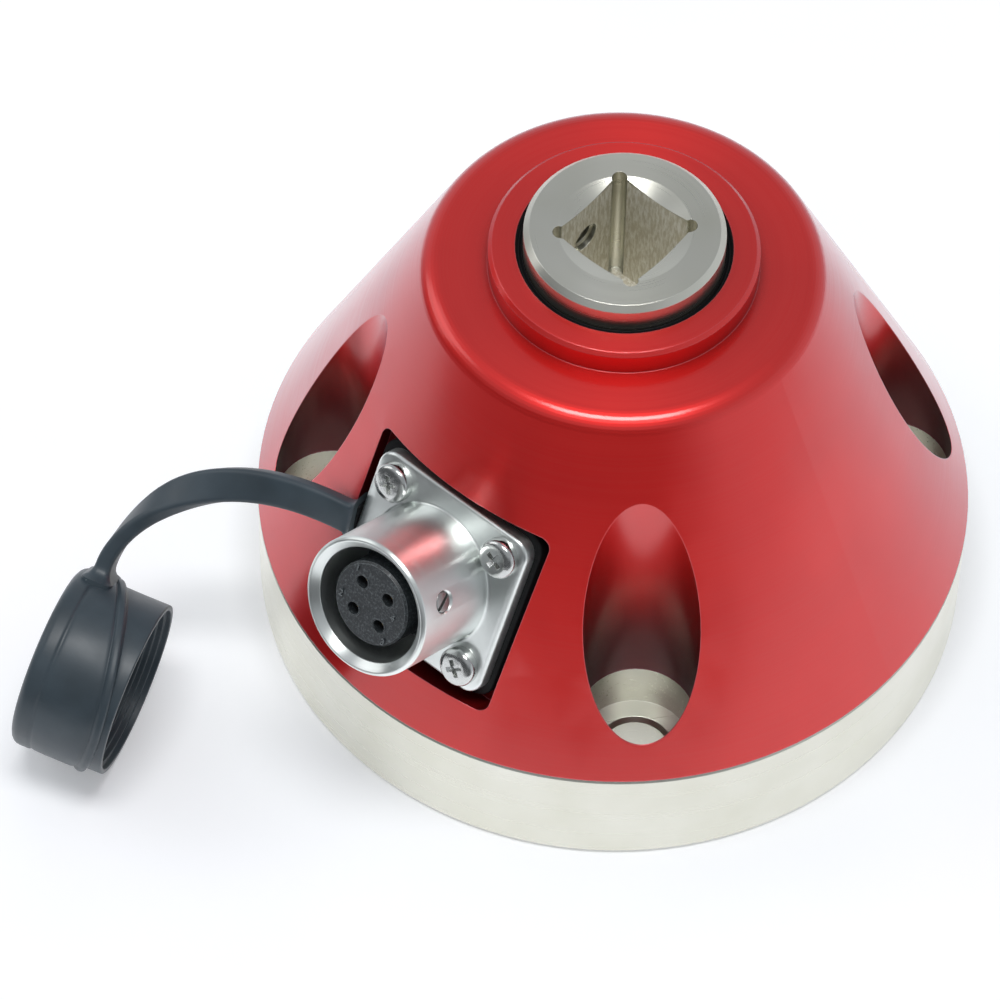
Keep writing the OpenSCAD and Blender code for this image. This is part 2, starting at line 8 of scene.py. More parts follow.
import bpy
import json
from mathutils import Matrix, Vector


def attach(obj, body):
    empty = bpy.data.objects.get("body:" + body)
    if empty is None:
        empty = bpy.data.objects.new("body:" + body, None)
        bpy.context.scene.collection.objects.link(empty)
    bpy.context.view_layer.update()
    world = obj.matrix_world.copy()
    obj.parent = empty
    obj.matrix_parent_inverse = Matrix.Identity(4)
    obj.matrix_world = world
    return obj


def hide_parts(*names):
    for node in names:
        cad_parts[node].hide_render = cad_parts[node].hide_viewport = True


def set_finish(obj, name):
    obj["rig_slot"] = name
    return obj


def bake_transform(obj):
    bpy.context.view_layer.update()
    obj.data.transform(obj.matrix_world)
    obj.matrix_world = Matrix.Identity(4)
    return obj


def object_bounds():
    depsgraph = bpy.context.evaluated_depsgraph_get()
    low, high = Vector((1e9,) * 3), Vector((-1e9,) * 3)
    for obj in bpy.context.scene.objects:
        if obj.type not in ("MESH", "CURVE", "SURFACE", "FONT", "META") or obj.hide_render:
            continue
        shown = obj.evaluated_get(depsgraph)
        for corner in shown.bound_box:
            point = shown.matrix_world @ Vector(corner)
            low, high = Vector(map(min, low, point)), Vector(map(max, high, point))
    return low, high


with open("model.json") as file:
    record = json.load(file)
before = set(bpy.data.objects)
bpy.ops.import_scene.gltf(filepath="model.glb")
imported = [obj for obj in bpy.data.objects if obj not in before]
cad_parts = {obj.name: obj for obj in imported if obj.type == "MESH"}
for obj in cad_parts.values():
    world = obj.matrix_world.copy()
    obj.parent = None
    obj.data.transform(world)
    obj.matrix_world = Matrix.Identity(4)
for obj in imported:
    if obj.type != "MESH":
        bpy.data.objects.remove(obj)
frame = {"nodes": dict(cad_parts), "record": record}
cad_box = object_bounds()

# %% Libraries and lengths
import json
import math

import bmesh
import bpy
from mathutils import Matrix, Vector

MM = 0.001


def mm(*lengths):
    """Lengths in millimetres as a point in metres."""
    return Vector(lengths) * MM


scene = bpy.context.scene
low, high = (Vector(corner) for corner in cad_box)
print("size in mm:", [round(length / MM, 1) for length in high - low])

# %% [markdown]
# ## Camera
# The picture looks down on the head from the connector's side, from about 0.75 m away. A camera
# can be aimed with a constraint, or its matrix can be built from where it stands, the point it
# looks at and a small roll. The matrix is used here, because it is exact and needs no helper.

# %% Camera
CAMERA_PLACE = mm(279.482, -357.721, 653.058)
CAMERA_AIM = mm(-1.125, -22.379, 36.0)
CAMERA_ROLL = math.radians(1.1815)
FOCAL_PIXELS = 5776.85
PICTURE_PIXELS = 1000
SENSOR_MM = 36


def aimed(place, aim, roll=0.0):
    """Matrix of a camera or lamp at place that looks at aim, rolled about its line of sight."""
    back = (place - aim).normalized()
    right = Vector((0, 0, 1)).cross(back).normalized()
    up = back.cross(right)
    turn = Matrix((right, up, back)).transposed().to_4x4()
    return Matrix.Translation(place) @ turn @ Matrix.Rotation(roll, 4, "Z")


lens = bpy.data.cameras.new("camera")
lens.sensor_width = SENSOR_MM
lens.lens = SENSOR_MM * FOCAL_PIXELS / PICTURE_PIXELS
camera = bpy.data.objects.new("camera", lens)
camera.matrix_world = aimed(CAMERA_PLACE, CAMERA_AIM, CAMERA_ROLL)
scene.collection.objects.link(camera)
scene.camera = camera
print("lens in mm:", round(lens.lens, 1))

# %% [markdown]
# ## Small helpers for shapes
# New pieces are drawn in millimetres, because bevels need numbers of a handy size, and are made
# metres when they get their place. Most pieces of this sensor come off a lathe or out of a round
# mould, so the first helper spins a rounded outline about Z, the way a lathe sweeps its tool.

# %% Helpers for shapes


def rounded_wire(shape, corners, closed):
    """Joins corners (radius, height, rounding) into a wire in the XZ plane and rounds them."""
    points = [shape.verts.new((radius, 0, height)) for radius, height, rounding in corners]
    for start, end in zip(points, points[1:] + points[:1] if closed else points[1:]):
        shape.edges.new((start, end))
    for size in sorted({rounding for radius, height, rounding in corners if rounding}):
        chosen = [point for point, corner in zip(points, corners) if corner[2] == size]
        bmesh.ops.bevel(
            shape, geom=chosen, offset=size, offset_type="OFFSET", segments=5, profile=0.5,
            affect="VERTICES", material=-1, clamp_overlap=True,
        )


def spun(corners, steps=128, closed=False, angle=math.tau, rise=0.0):
    """A turned shape: a rounded outline swept about Z, and along Z too for a thread."""
    shape = bmesh.new()
    rounded_wire(shape, corners, closed)
    full = abs(angle - math.tau) < 1e-6 and rise == 0
    bmesh.ops.spin(
        shape, geom=shape.verts[:] + shape.edges[:], cent=(0, 0, 0), axis=(0, 0, 1),
        dvec=(0, 0, rise / steps), angle=angle, steps=steps, use_merge=full,
    )
    bmesh.ops.remove_doubles(shape, verts=shape.verts[:], dist=0.0004)
    bmesh.ops.recalc_face_normals(shape, faces=shape.faces[:])
    return shape


def cut_away(shape, cutter):
    """The shape without what the cutter covers. Both are closed, and both are used up."""
    made = []
    for part in (shape, cutter):
        mesh = bpy.data.meshes.new("cutting")
        part.to_mesh(mesh)
        part.free()
        made.append(bpy.data.objects.new("cutting", mesh))
        scene.collection.objects.link(made[-1])
    knife = made[0].modifiers.new("knife", "BOOLEAN")
    knife.object = made[1]
    knife.operation = "DIFFERENCE"
    knife.solver = "EXACT"
    bpy.context.view_layer.update()
    result = bmesh.new()
    result.from_mesh(made[0].evaluated_get(bpy.context.evaluated_depsgraph_get()).to_mesh())
    for part in made:
        mesh = part.data
        bpy.data.objects.remove(part)
        bpy.data.meshes.remove(mesh)
    return result


def joined(shapes):
    """One shape that holds several, which are used up."""
    whole = bmesh.new()
    for part in shapes:
        mesh = bpy.data.meshes.new("joining")
        part.to_mesh(mesh)
        part.free()
        whole.from_mesh(mesh)
        bpy.data.meshes.remove(mesh)
    return whole


def make_piece(name, shape, place, sharp_above=35):
    """Object of a shape in millimetres, put in place and smooth where it bends less than an angle."""
    bmesh.ops.transform(shape, matrix=place @ Matrix.Scale(MM, 4), verts=shape.verts[:])
    mesh = bpy.data.meshes.new(name)
    shape.to_mesh(mesh)
    shape.free()
    mesh.shade_smooth()
    mesh.set_sharp_from_angle(angle=math.radians(sharp_above))
    piece = bpy.data.objects.new(name, mesh)
    scene.collection.objects.link(piece)
    print(name, "faces:", len(mesh.polygons))
    return piece


# %% [markdown]
# ## Places of the connector and the cap
# The connector leans back with the cone, and the cap lies tipped over beside the foot. Each gets a
# matrix from its own upright drawing to its place, so that its outlines have simple numbers.

# %% Places of the connector and the cap
CONE_LEAN = math.radians(25)
CONNECTOR_TILT = math.radians(65)
FLANGE_CENTRE = mm(0, -37.707, 37)
UP_CONE = Vector((0, math.sin(CONE_LEAN), math.cos(CONE_LEAN)))
OUTWARD = Vector((0, -math.cos(CONE_LEAN), math.sin(CONE_LEAN)))
CAP_CENTRE = mm(-39.000, -68.930, 14.222)
CAP_HEADING = math.radians(20)
CAP_TIP = math.radians(98)
at_body = Matrix.Identity(4)
at_connector = Matrix.Translation(FLANGE_CENTRE) @ Matrix.Rotation(CONNECTOR_TILT, 4, "X")
at_cap = (
    Matrix.Translation(CAP_CENTRE) @ Matrix.Rotation(CAP_HEADING, 4, "Z")
    @ Matrix.Rotation(CAP_TIP, 4, "Y")
)
print("cap's mouth faces:", [round(value, 3) for value in at_cap.col[2][:3]])

# %% [markdown]
# ## Connector flange and barrel
# The connector's shell is turned and milled from brass and nickel plated. Its square flange has
# rounded corners and a broken front edge that catches the light as a bright line. The flange is
# one face that is bevelled at its corners and extruded, and then its front edge is bevelled.

# %% Square flange
FLANGE_HALF = 12.5
FLANGE_CORNER = 2.6
FLANGE_T = 2.0
FLANGE_EDGE = 0.5


def round_square(half, corner, low_z, high_z, edge):
    """A square plate with rounded corners and a bevel round its upper face."""
    plate = bmesh.new()
    bmesh.ops.create_grid(plate, x_segments=1, y_segments=1, size=half)
    bmesh.ops.bevel(
        plate, geom=plate.verts[:], offset=corner, offset_type="OFFSET", segments=8, profile=0.5,
        affect="VERTICES", material=-1,
    )
    bmesh.ops.translate(plate, vec=(0, 0, low_z), verts=plate.verts[:])
    raised = bmesh.ops.extrude_face_region(plate, geom=plate.faces[:])["geom"]
    top = [item for item in raised if isinstance(item, bmesh.types.BMVert)]
    bmesh.ops.translate(plate, vec=(0, 0, high_z - low_z), verts=top)
    rim = [line for line in plate.edges if all(end.co.z > high_z - 1e-4 for end in line.verts)]
    bmesh.ops.bevel(
        plate, geom=rim, offset=edge, offset_type="OFFSET", segments=3, profile=0.5,
        affect="EDGES", material=-1,
    )
    bmesh.ops.recalc_face_normals(plate, faces=plate.faces[:])
    return plate


flange_shape = round_square(FLANGE_HALF, FLANGE_CORNER, -FLANGE_T, 0.0, FLANGE_EDGE)
flange = make_piece("connector_flange", flange_shape, at_connector)
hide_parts("connector_shell")
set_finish(flange, "nickel_shell")
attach(flange, "housing")

# %% [markdown]
# ## Barrel
# The barrel is one outline spun about its axis: a small fillet where it grows from the flange, a
# straight wall, a narrow lip and the funnel that leads the plug in. A hole with a broken edge is
# cut in its side for the screw that holds the insulator.

# %% Barrel
BARREL_R = 9.5
BORE_R = 7.85
MOUTH_Z = 13.85
SIDE_SCREW_TURN = math.radians(30)
SIDE_SCREW_Z = 9.3

barrel_shape = spun([
    (BORE_R, -1.5, 0), (10.0, -1.5, 0), (10.0, 0.01, 0), (BARREL_R, 0.01, 0.4),
    (BARREL_R, MOUTH_Z - 0.4, 0.12), (BARREL_R - 0.35, MOUTH_Z, 0.1),
    (BARREL_R - 0.6, MOUTH_Z, 0.08), (BORE_R, MOUTH_Z - 0.9, 0.12),
], steps=160, closed=True)
hole_shape = spun([
    (0, 6.5, 0), (1.42, 6.5, 0), (1.42, 9.22, 0), (2.0, 9.75, 0), (2.0, 11, 0), (0, 11, 0),
], steps=48)
at_side_screw = (
    Matrix.Rotation(SIDE_SCREW_TURN, 4, "Z") @ Matrix.Translation((0, 0, SIDE_SCREW_Z))
    @ Matrix.Rotation(math.radians(90), 4, "Y")
)
bmesh.ops.transform(hole_shape, matrix=at_side_screw, verts=hole_shape.verts[:])
barrel_shape = cut_away(barrel_shape, hole_shape)
barrel = make_piece("connector_barrel", barrel_shape, at_connector, sharp_above=28)
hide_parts("connector_shell")
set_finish(barrel, "nickel_shell")
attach(barrel, "housing")

# %% [markdown]
# ## Slotted side screw
# A short grub screw closes that hole. Its disc is spun with a rounded edge, and a thin block cuts
# the slot, which is turned a little, because no screw stops with its slot exactly in line.

# %% Slotted side screw
SLOT_SIZE = (4, 0.5, 1.2)
SLOT_TURN = math.radians(35)
DISC_TOP = 9.34

disc = spun([(0, 7.9, 0), (1.38, 7.9, 0), (1.38, 9.3, 0.18), (0, DISC_TOP, 0)], steps=48)
slot_cutter = bmesh.new()
bmesh.ops.create_cube(slot_cutter, size=1)
bmesh.ops.scale(slot_cutter, vec=SLOT_SIZE, verts=slot_cutter.verts[:])
bmesh.ops.translate(slot_cutter, vec=(0, 0, DISC_TOP), verts=slot_cutter.verts[:])
side_shape = cut_away(disc, slot_cutter)
slot_place = at_side_screw @ Matrix.Rotation(SLOT_TURN, 4, "Z")
bmesh.ops.transform(side_shape, matrix=slot_place, verts=side_shape.verts[:])
side_screw = make_piece("side_screw", side_shape, at_connector)
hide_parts("insert_screw")
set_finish(side_screw, "zinc_screws")
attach(side_screw, "housing")

# %% [markdown]
# ## Flange screws
# Four pan head screws hold the connector. A pan head has a flat top that rolls over into a steep
# side, which is one spun outline. The cross recess is two tapered blocks that are cut away. The
# four screws share one shape, each turned its own way as a hand-driven screw ends up.

# %% Flange screws
SCREW_HALF = 9.0
SCREW_TURNS = {(-1, 1): 24, (1, 1): 63, (-1, -1): 8, (1, -1): 40}
WING = {"length": 3.4, "width": 0.9, "depth": 1.5, "top": 2.6}


def tapered_bar(length, width, depth, top):
    """A block that narrows downwards, as a cross driver's wing does."""
    bar = bmesh.new()
    bmesh.ops.create_cube(bar, size=1)
    bmesh.ops.scale(bar, vec=(length, width, depth), verts=bar.verts[:])
    low = [point for point in bar.verts if point.co.z < 0]
    bmesh.ops.scale(bar, vec=(0.45, 0.55, 1), verts=low)
    bmesh.ops.translate(bar, vec=(0, 0, top - depth / 2), verts=bar.verts[:])
    return bar


def pan_screw():
    """A pan head with a cross recess, seated at height 0."""
    head = spun([
        (0, -0.3, 0), (2.6, -0.3, 0), (2.66, 0.1, 0.1), (2.66, 1.45, 0.55), (1.9, 1.82, 0.4),
        (0, 1.86, 0),
    ], steps=64)
    for turn in (0, 90):
        wing = tapered_bar(**WING)
        spin = Matrix.Rotation(math.radians(turn), 3, "Z")
        bmesh.ops.rotate(wing, matrix=spin, verts=wing.verts[:])
        head = cut_away(head, wing)
    return head


screws = []
for (side, height), turn in SCREW_TURNS.items():
    screw = pan_screw()
    corner = Matrix.Translation((side * SCREW_HALF, height * SCREW_HALF, 0))
    move = corner @ Matrix.Rotation(math.radians(turn), 4, "Z")
    bmesh.ops.transform(screw, matrix=move, verts=screw.verts[:])
    screws.append(screw)
flange_screws = make_piece("pan_head_screws", joined(screws), at_connector, sharp_above=30)
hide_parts("flange_screws")
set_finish(flange_screws, "bright_screws")
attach(flange_screws, "housing")

# %% [markdown]
# ## Rings and numbers on the insulator
# The insulator is moulded with a small raised ring round each contact and the contacts' numbers.
# The rings are spun, and the numbers are text that is made a mesh before it gets its place. Behind
# each ring, deep in its hole, sits the flared gold mouth of the contact, which guides the pin.

# %% Rings round the contacts
FACE_Z = 12.6
CONTACT_CIRCLE_R = 3.05
FIRST_CONTACT = 135
CONTACT_STEP = 90


def at_contacts(corners):
    """The same small ring at each of the four contacts, as one shape."""
    shapes = []
    for number in range(4):
        angle = math.radians(FIRST_CONTACT + CONTACT_STEP * number)
        ring = spun(corners, steps=40, closed=True)
        spot = (CONTACT_CIRCLE_R * math.cos(angle), CONTACT_CIRCLE_R * math.sin(angle), 0)
        bmesh.ops.translate(ring, vec=spot, verts=ring.verts[:])
        shapes.append(ring)
    return joined(shapes)


contact_rings = make_piece("contact_rings", at_contacts([
    (0.9, FACE_Z - 0.1, 0), (1.14, FACE_Z - 0.1, 0), (1.14, FACE_Z + 0.07, 0.05),
    (0.9, FACE_Z + 0.07, 0.05),
]), at_connector)
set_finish(contact_rings, "insulator_black")
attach(contact_rings, "housing")

# %% Mouths of the contacts
contact_mouths = make_piece("contact_mouths", at_contacts([
    (0.6, FACE_Z - 2.4, 0), (0.82, FACE_Z - 2.4, 0), (0.82, FACE_Z - 1.7, 0.06),
    (0.72, FACE_Z - 1.62, 0.05), (0.6, FACE_Z - 1.9, 0.05),
]), at_connector)
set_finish(contact_mouths, "contact_gold")
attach(contact_mouths, "housing")

# %% Contact numbers
DIGIT_MM = 1.35
DIGIT_HALF_DEPTH = 0.2
DIGIT_PLACES = {1: (-3.35, 3.7), 2: (-4.5, -1.15), 3: (3.55, -3.75), 4: (3.75, 0.35)}


def raised_digit(number, x, y):
    """One moulded digit, proud of the face."""
    words = bpy.data.curves.new("digit", "FONT")
    words.body = str(number)
    words.size = DIGIT_MM
    words.extrude = DIGIT_HALF_DEPTH
    words.align_x = "CENTER"
    words.align_y = "CENTER"
    holder = bpy.data.objects.new("digit", words)
    scene.collection.objects.link(holder)
    bpy.context.view_layer.update()
    digit = bmesh.new()
    digit.from_mesh(holder.evaluated_get(bpy.context.evaluated_depsgraph_get()).to_mesh())
    bpy.data.objects.remove(holder)
    bpy.data.curves.remove(words)
    bmesh.ops.translate(digit, vec=(x, y, FACE_Z + 0.03), verts=digit.verts[:])
    return digit


numbers = joined([raised_digit(number, x, y) for number, (x, y) in DIGIT_PLACES.items()])
contact_numbers = make_piece("contact_numbers", numbers, at_connector, sharp_above=30)
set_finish(contact_numbers, "insulator_black")
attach(contact_numbers, "housing")

# %% [markdown]
# ## Seals
# A lip ring of black rubber closes the gap between the head and the cover's rim: its top is a
# shallow V between two lips. The ring under the cover is a plain round cord in its groove. Both
# are spun outlines.

# %% Seals
lip_seal = make_piece("head_lip_seal", spun([
    (13.04, 67.35, 0.1), (14.92, 67.35, 0.1), (14.92, 68.98, 0), (13.95, 68.98, 0.15),
    (13.55, 68.5, 0.2), (13.15, 68.98, 0.1), (13.04, 68.7, 0.05),
], steps=160, closed=True), at_body)
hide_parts("shaft_seal")
cord_ring = make_piece("cover_cord_ring", spun([
    (28.62, 16.7, 0.3), (28.85, 16.13, 0.3), (29.4, 15.91, 0.3), (29.95, 16.13, 0.3),
    (30.18, 16.7, 0.3), (29.95, 17.27, 0.3), (29.4, 17.49, 0.3), (28.85, 17.27, 0.3),
], steps=96, closed=True), at_body)
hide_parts("base_seal")
for seal in (lip_seal, cord_ring):
    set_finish(seal, "black_rubber")
    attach(seal, "housing")

# %% [markdown]
# ## Thread in the cross hole
# The hole in the socket's wall takes a retaining screw, so it is threaded. A thread is a small
# ridge that is spun several times round while it moves along. The hole itself is in the solid.

# %% Thread in the cross hole
CROSS_HOLE_PLACE = mm(-6.75, 0, 65.9)
THREAD_PITCH = 0.8
THREAD_TURNS = 7

ridge = spun(
    [(2.12, 0, 0), (1.78, 0.25, 0), (1.78, 0.35, 0), (2.12, 0.6, 0)],
    steps=36 * THREAD_TURNS, angle=math.tau * THREAD_TURNS, rise=THREAD_PITCH * THREAD_TURNS,
)
at_cross_hole = Matrix.Translation(CROSS_HOLE_PLACE) @ Matrix.Rotation(math.radians(-90), 4, "Y")
thread = make_piece("cross_hole_thread", ridge, at_cross_hole, sharp_above=25)
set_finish(thread, "nickel_steel")
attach(thread, "housing")

# %% [markdown]
# ## Path of the rubber strap
# The plate under the flange, the strap and the cap are one rubber moulding. The strap leaves the
# plate sideways, dips and twists to the cap. Its middle line is a Bezier curve, the same as in the
# solid model, with a straight start inside the plate and a straight end inside the cap's wall.

# %% Path of the strap
STRAP_T = 2.3
STRAP_W = 4.5
STRAP_START = mm(-15.45, -38.0573, 36.722)
STRAP_END = mm(-38.9698, -57.822, 24.2162)
START_RISE = OUTWARD * math.tan(math.radians(10))
START_DROP = UP_CONE * math.tan(math.radians(5))
START_WAY = (Vector((-1, 0, 0)) + START_RISE - START_DROP).normalized()
STUB_WAY = Vector((-0.1493, 0.6983, 0.7004)).normalized()
END_ACROSS = Vector((-0.33432, 0.63080, -0.70023)).normalized()
LEAD_IN_MM = 2.75
LEAD_OUT_MM = 3.6
START_PULL_MM = 24
END_PULL_MM = 3
STRAP_SAMPLES = 400
SHARE_STEP = 0.004


def strap_point(share):
    """A point of the middle line, in metres, at a share from 0 to 1 of the free strap."""
    pulls = (
        STRAP_START, STRAP_START + START_WAY * START_PULL_MM * MM,
        STRAP_END + STUB_WAY * END_PULL_MM * MM, STRAP_END,
    )
    weights = ((1 - share) ** 3, 3 * (1 - share) ** 2 * share, 3 * (1 - share) * share**2, share**3)
    return sum((point * weight for point, weight in zip(pulls, weights)), Vector())


strap_line = [strap_point(i / STRAP_SAMPLES) for i in range(STRAP_SAMPLES + 1)]
strap_reach = [0.0]
for before, after in zip(strap_line, strap_line[1:]):
    strap_reach.append(strap_reach[-1] + (after - before).length / MM)
STRAP_LENGTH = strap_reach[-1]
print("free strap in mm:", round(STRAP_LENGTH, 1))


def strap_frame(along):
    """Middle point and ways along, across and through the strap, at a length in mm from its start."""
    if along <= 0:
        share, beyond = 0.0, along
    elif along >= STRAP_LENGTH:
        share, beyond = 1.0, along - STRAP_LENGTH
    else:
        after = next(i for i, reach in enumerate(strap_reach) if reach >= along)
        gap = strap_reach[after] - strap_reach[after - 1]
        share, beyond = (after - (strap_reach[after] - along) / gap) / STRAP_SAMPLES, 0.0
    near, far = max(share - SHARE_STEP, 0.0), min(share + SHARE_STEP, 1.0)
    way = (strap_point(far) - strap_point(near)).normalized()
    turned = (UP_CONE * (1 - share) + END_ACROSS * share).normalized()
    across = (turned - way * turned.dot(way)).normalized()
    return strap_point(share) + way * beyond * MM, way, across, way.cross(across)


# %% [markdown]
# ## Strap
# The strap starts as a straight bar with rounded edges that is cut into short lengths. Each of its
# points is then moved on to the path, as a curve modifier would do. Near both ends it grows wider
# in a hollow curve, because a mould leaves no sharp inner corner.

# %% Strap
ROOT_FILLET_MM = 1.7
CAP_FILLET_MM = 1.7
CAP_WALL_BEYOND_MM = 2.05
STRAP_EDGE = 0.7
STRAP_CUTS = 46


def fillet_growth(distance, radius):
    """How far a fillet stands out at a distance from the wall that it meets."""
    if distance >= radius:
        return 0.0
    return radius - math.sqrt(max(radius**2 - (radius - max(distance, 0.0)) ** 2, 0.0))


def strap_half(start, end):
    """The strap from one length in mm to another, as a shape whose points are in millimetres."""
    bar = bmesh.new()
    bmesh.ops.create_cube(bar, size=1)
    bmesh.ops.scale(bar, vec=(end - start, STRAP_W, STRAP_T), verts=bar.verts[:])
    bmesh.ops.translate(bar, vec=((start + end) / 2, 0, 0), verts=bar.verts[:])
    long_edges = [line for line in bar.edges if abs(line.verts[0].co.x - line.verts[1].co.x) > 1]
    bmesh.ops.bevel(
        bar, geom=long_edges, offset=STRAP_EDGE, offset_type="OFFSET", segments=5, profile=0.5,
        affect="EDGES", material=-1,
    )
    long_edges = [line for line in bar.edges if abs(line.verts[0].co.x - line.verts[1].co.x) > 1]
    bmesh.ops.subdivide_edges(bar, edges=long_edges, cuts=STRAP_CUTS, use_grid_fill=True)
    for point in bar.verts:
        along, wide, thick = point.co
        middle, way, across, through = strap_frame(along)
        root = fillet_growth(along + LEAD_IN_MM, ROOT_FILLET_MM)
        tip = fillet_growth(STRAP_LENGTH + CAP_WALL_BEYOND_MM - along, CAP_FILLET_MM)
        wide *= 1 + 2 * (root + tip) / STRAP_W
        thick *= 1 + (root + 1.2 * tip) / STRAP_T
        point.co = (middle + (across * wide + through * thick) * MM) / MM
    bmesh.ops.recalc_face_normals(bar, faces=bar.faces[:])
    return bar


strap_middle = STRAP_LENGTH / 2
print("strap halves meet at mm:", round(strap_middle, 1))

# %% [markdown]
# ## Rubber plate and the strap's root
# The plate is a rounded square like the flange, a little larger, and shows as a black line round
# it. A small block joins it to the root of the strap, which is a piece of its own: the strap from
# the plate to its middle.

# %% Rubber plate
PLATE_HALF = 13.35
PLATE_CORNER = 2.8
PLATE_T = 2.0
PLATE_EDGE = 0.3
LINK_SIZE = (1.3, 5.4, 3.6)
LINK_EDGE = 0.35
LINK_PLACE = (-13.25, -0.4, -1.3)

plate_shape = round_square(PLATE_HALF, PLATE_CORNER, -FLANGE_T - PLATE_T, -FLANGE_T, PLATE_EDGE)
link = bmesh.new()
bmesh.ops.create_cube(link, size=1)
bmesh.ops.scale(link, vec=LINK_SIZE, verts=link.verts[:])
bmesh.ops.bevel(
    link, geom=link.edges[:], offset=LINK_EDGE, offset_type="OFFSET", segments=3, profile=0.5,
    affect="EDGES", material=-1,
)
bmesh.ops.translate(link, vec=LINK_PLACE, verts=link.verts[:])
rubber_plate = make_piece("rubber_plate", joined([plate_shape, link]), at_connector, sharp_above=50)
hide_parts("cap_gasket")
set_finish(rubber_plate, "black_rubber")
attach(rubber_plate, "housing")

# %% Strap's root
strap_root = make_piece("strap_root", strap_half(-LEAD_IN_MM, strap_middle), at_body, sharp_above=50)
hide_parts("cap_strap")
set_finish(strap_root, "cap_rubber")
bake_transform(strap_root)

# %% [markdown]
# ## Rubber cap
# The cap is one spun outline: a rounded closed end, a shallow notch, the collar, a soft bead and
# the mouth with fine steps inside that grip the barrel. On the real cap the bead runs at a slant,
# so after the spin every point past the notch is moved along the axis by how high the slanting
# plane stands there.

# %% Rubber cap
COLLAR_MIDDLE = 6.0
COLLAR_SLANT = math.tan(math.radians(17.5))
COLLAR_LONG_SIDE = math.radians(245)
BEAD_W = 1.5
MOUTH_END = 12.15
MOUTH_ROUNDING = 0.35
NOTCH_END = 2.5
LEAST_COLLAR = 0.3
COLLAR_INSIDE_R = 11.9


def slanted(x, y, z):
    """Height on the real cap of an outer point that is drawn at height z with a level bead."""
    towards_long_side = x * math.cos(COLLAR_LONG_SIDE) + y * math.sin(COLLAR_LONG_SIDE)
    plane = max(COLLAR_MIDDLE + towards_long_side * COLLAR_SLANT, NOTCH_END + LEAST_COLLAR)
    wall_end = MOUTH_END - MOUTH_ROUNDING
    if z <= NOTCH_END or z >= wall_end:
        return z
    if z <= COLLAR_MIDDLE:
        return NOTCH_END + (z - NOTCH_END) * (plane - NOTCH_END) / (COLLAR_MIDDLE - NOTCH_END)
    if z <= COLLAR_MIDDLE + BEAD_W:
        return plane + z - COLLAR_MIDDLE
    share = (z - COLLAR_MIDDLE - BEAD_W) / (wall_end - COLLAR_MIDDLE - BEAD_W)
    return plane + BEAD_W + share * (wall_end - plane - BEAD_W)


cap_shape = spun([
    (0, -0.85, 0), (12.62, -0.85, 1.3), (12.62, 1.75, 0.5), (12.42, 2.1, 0.3), (12.55, NOTCH_END, 0.3),
    (12.62, 3.4, 0), (12.62, COLLAR_MIDDLE - 0.25, 0.2), (12.42, COLLAR_MIDDLE, 0.1),
    (12.86, COLLAR_MIDDLE + 0.3, 0.3), (12.86, COLLAR_MIDDLE + BEAD_W - 0.3, 0.35),
    (12.12, COLLAR_MIDDLE + BEAD_W, 0.25), (12.08, 9.5, 0), (12.08, MOUTH_END, 0.3),
    (11.35, MOUTH_END, 0.15), (11.35, 11.35, 0.12), (10.8, 11.35, 0.12), (10.8, 10.6, 0.12),
    (10.3, 10.6, 0.12), (10.3, 9.9, 0.1), (9.75, 9.9, 0.12), (9.75, 1.9, 0.5), (0, 1.9, 0),
], steps=180)
for point in cap_shape.verts:
    x, y, z = point.co
    if math.hypot(x, y) > COLLAR_INSIDE_R:
        point.co.z = slanted(x, y, z)
tip_half = strap_half(strap_middle, STRAP_LENGTH + LEAD_OUT_MM)
from_body = at_cap.inverted() @ Matrix.Scale(MM, 4)
bmesh.ops.transform(tip_half, matrix=from_body, verts=tip_half.verts[:])
bmesh.ops.scale(tip_half, vec=(1 / MM,) * 3, verts=tip_half.verts[:])
rubber_cap = make_piece("rubber_cap", joined([cap_shape, tip_half]), at_cap, sharp_above=50)
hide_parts("cap_strap", "dust_cap")
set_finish(rubber_cap, "cap_rubber")
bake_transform(rubber_cap)

# %% [markdown]
# ## Small helpers for materials
# A colour is written as the hex value that a paint program shows, and turned into the linear values
# that the renderer works with. Every node is added by one function that takes its settings and what
# goes into its sockets, so a material reads from its first pattern to its surface.

# %% Helpers for materials


def paint(hex_colour):
    """Linear RGBA of an sRGB hex colour."""
    channels = [int(hex_colour[i : i + 2], 16) / 255 for i in (1, 3, 5)]
    linear = [c / 12.92 if c <= 0.04045 else ((c + 0.055) / 1.055) ** 2.4 for c in channels]
    return (*linear, 1.0)


def add_node(tree, kind, sockets=None, out=0, **settings):
    """Adds a shader node, returns one output. sockets maps an input to a value or to what feeds it."""
    node = tree.nodes.new("ShaderNode" + kind)
    for name, value in settings.items():
        setattr(node, name, value)
    for name, value in (sockets or {}).items():
        if isinstance(value, bpy.types.NodeSocket):
            tree.links.new(value, node.inputs[name])
        else:
            node.inputs[name].default_value = value
    return node.outputs[out] if len(node.outputs) else node


def per_metre(size_mm):
    """Texture scale at which one feature is about size_mm long."""
    return 1.0 / (size_mm * MM)


def new_material(name):
    """An empty material, its tree and the object's own coordinates."""
    material = bpy.data.materials.new(name)
    material.use_nodes = True
    tree = material.node_tree
    tree.nodes.clear()
    return material, tree, add_node(tree, "TexCoord", out="Object")


def surface(tree, sockets):
    """Ends a material: the Principled shader with these sockets, joined to the output."""
    shader = add_node(tree, "BsdfPrincipled", sockets)
    add_node(tree, "OutputMaterial", {"Surface": shader})


print("steel, as linear values:", [round(value, 3) for value in paint("#d8d7ca")])
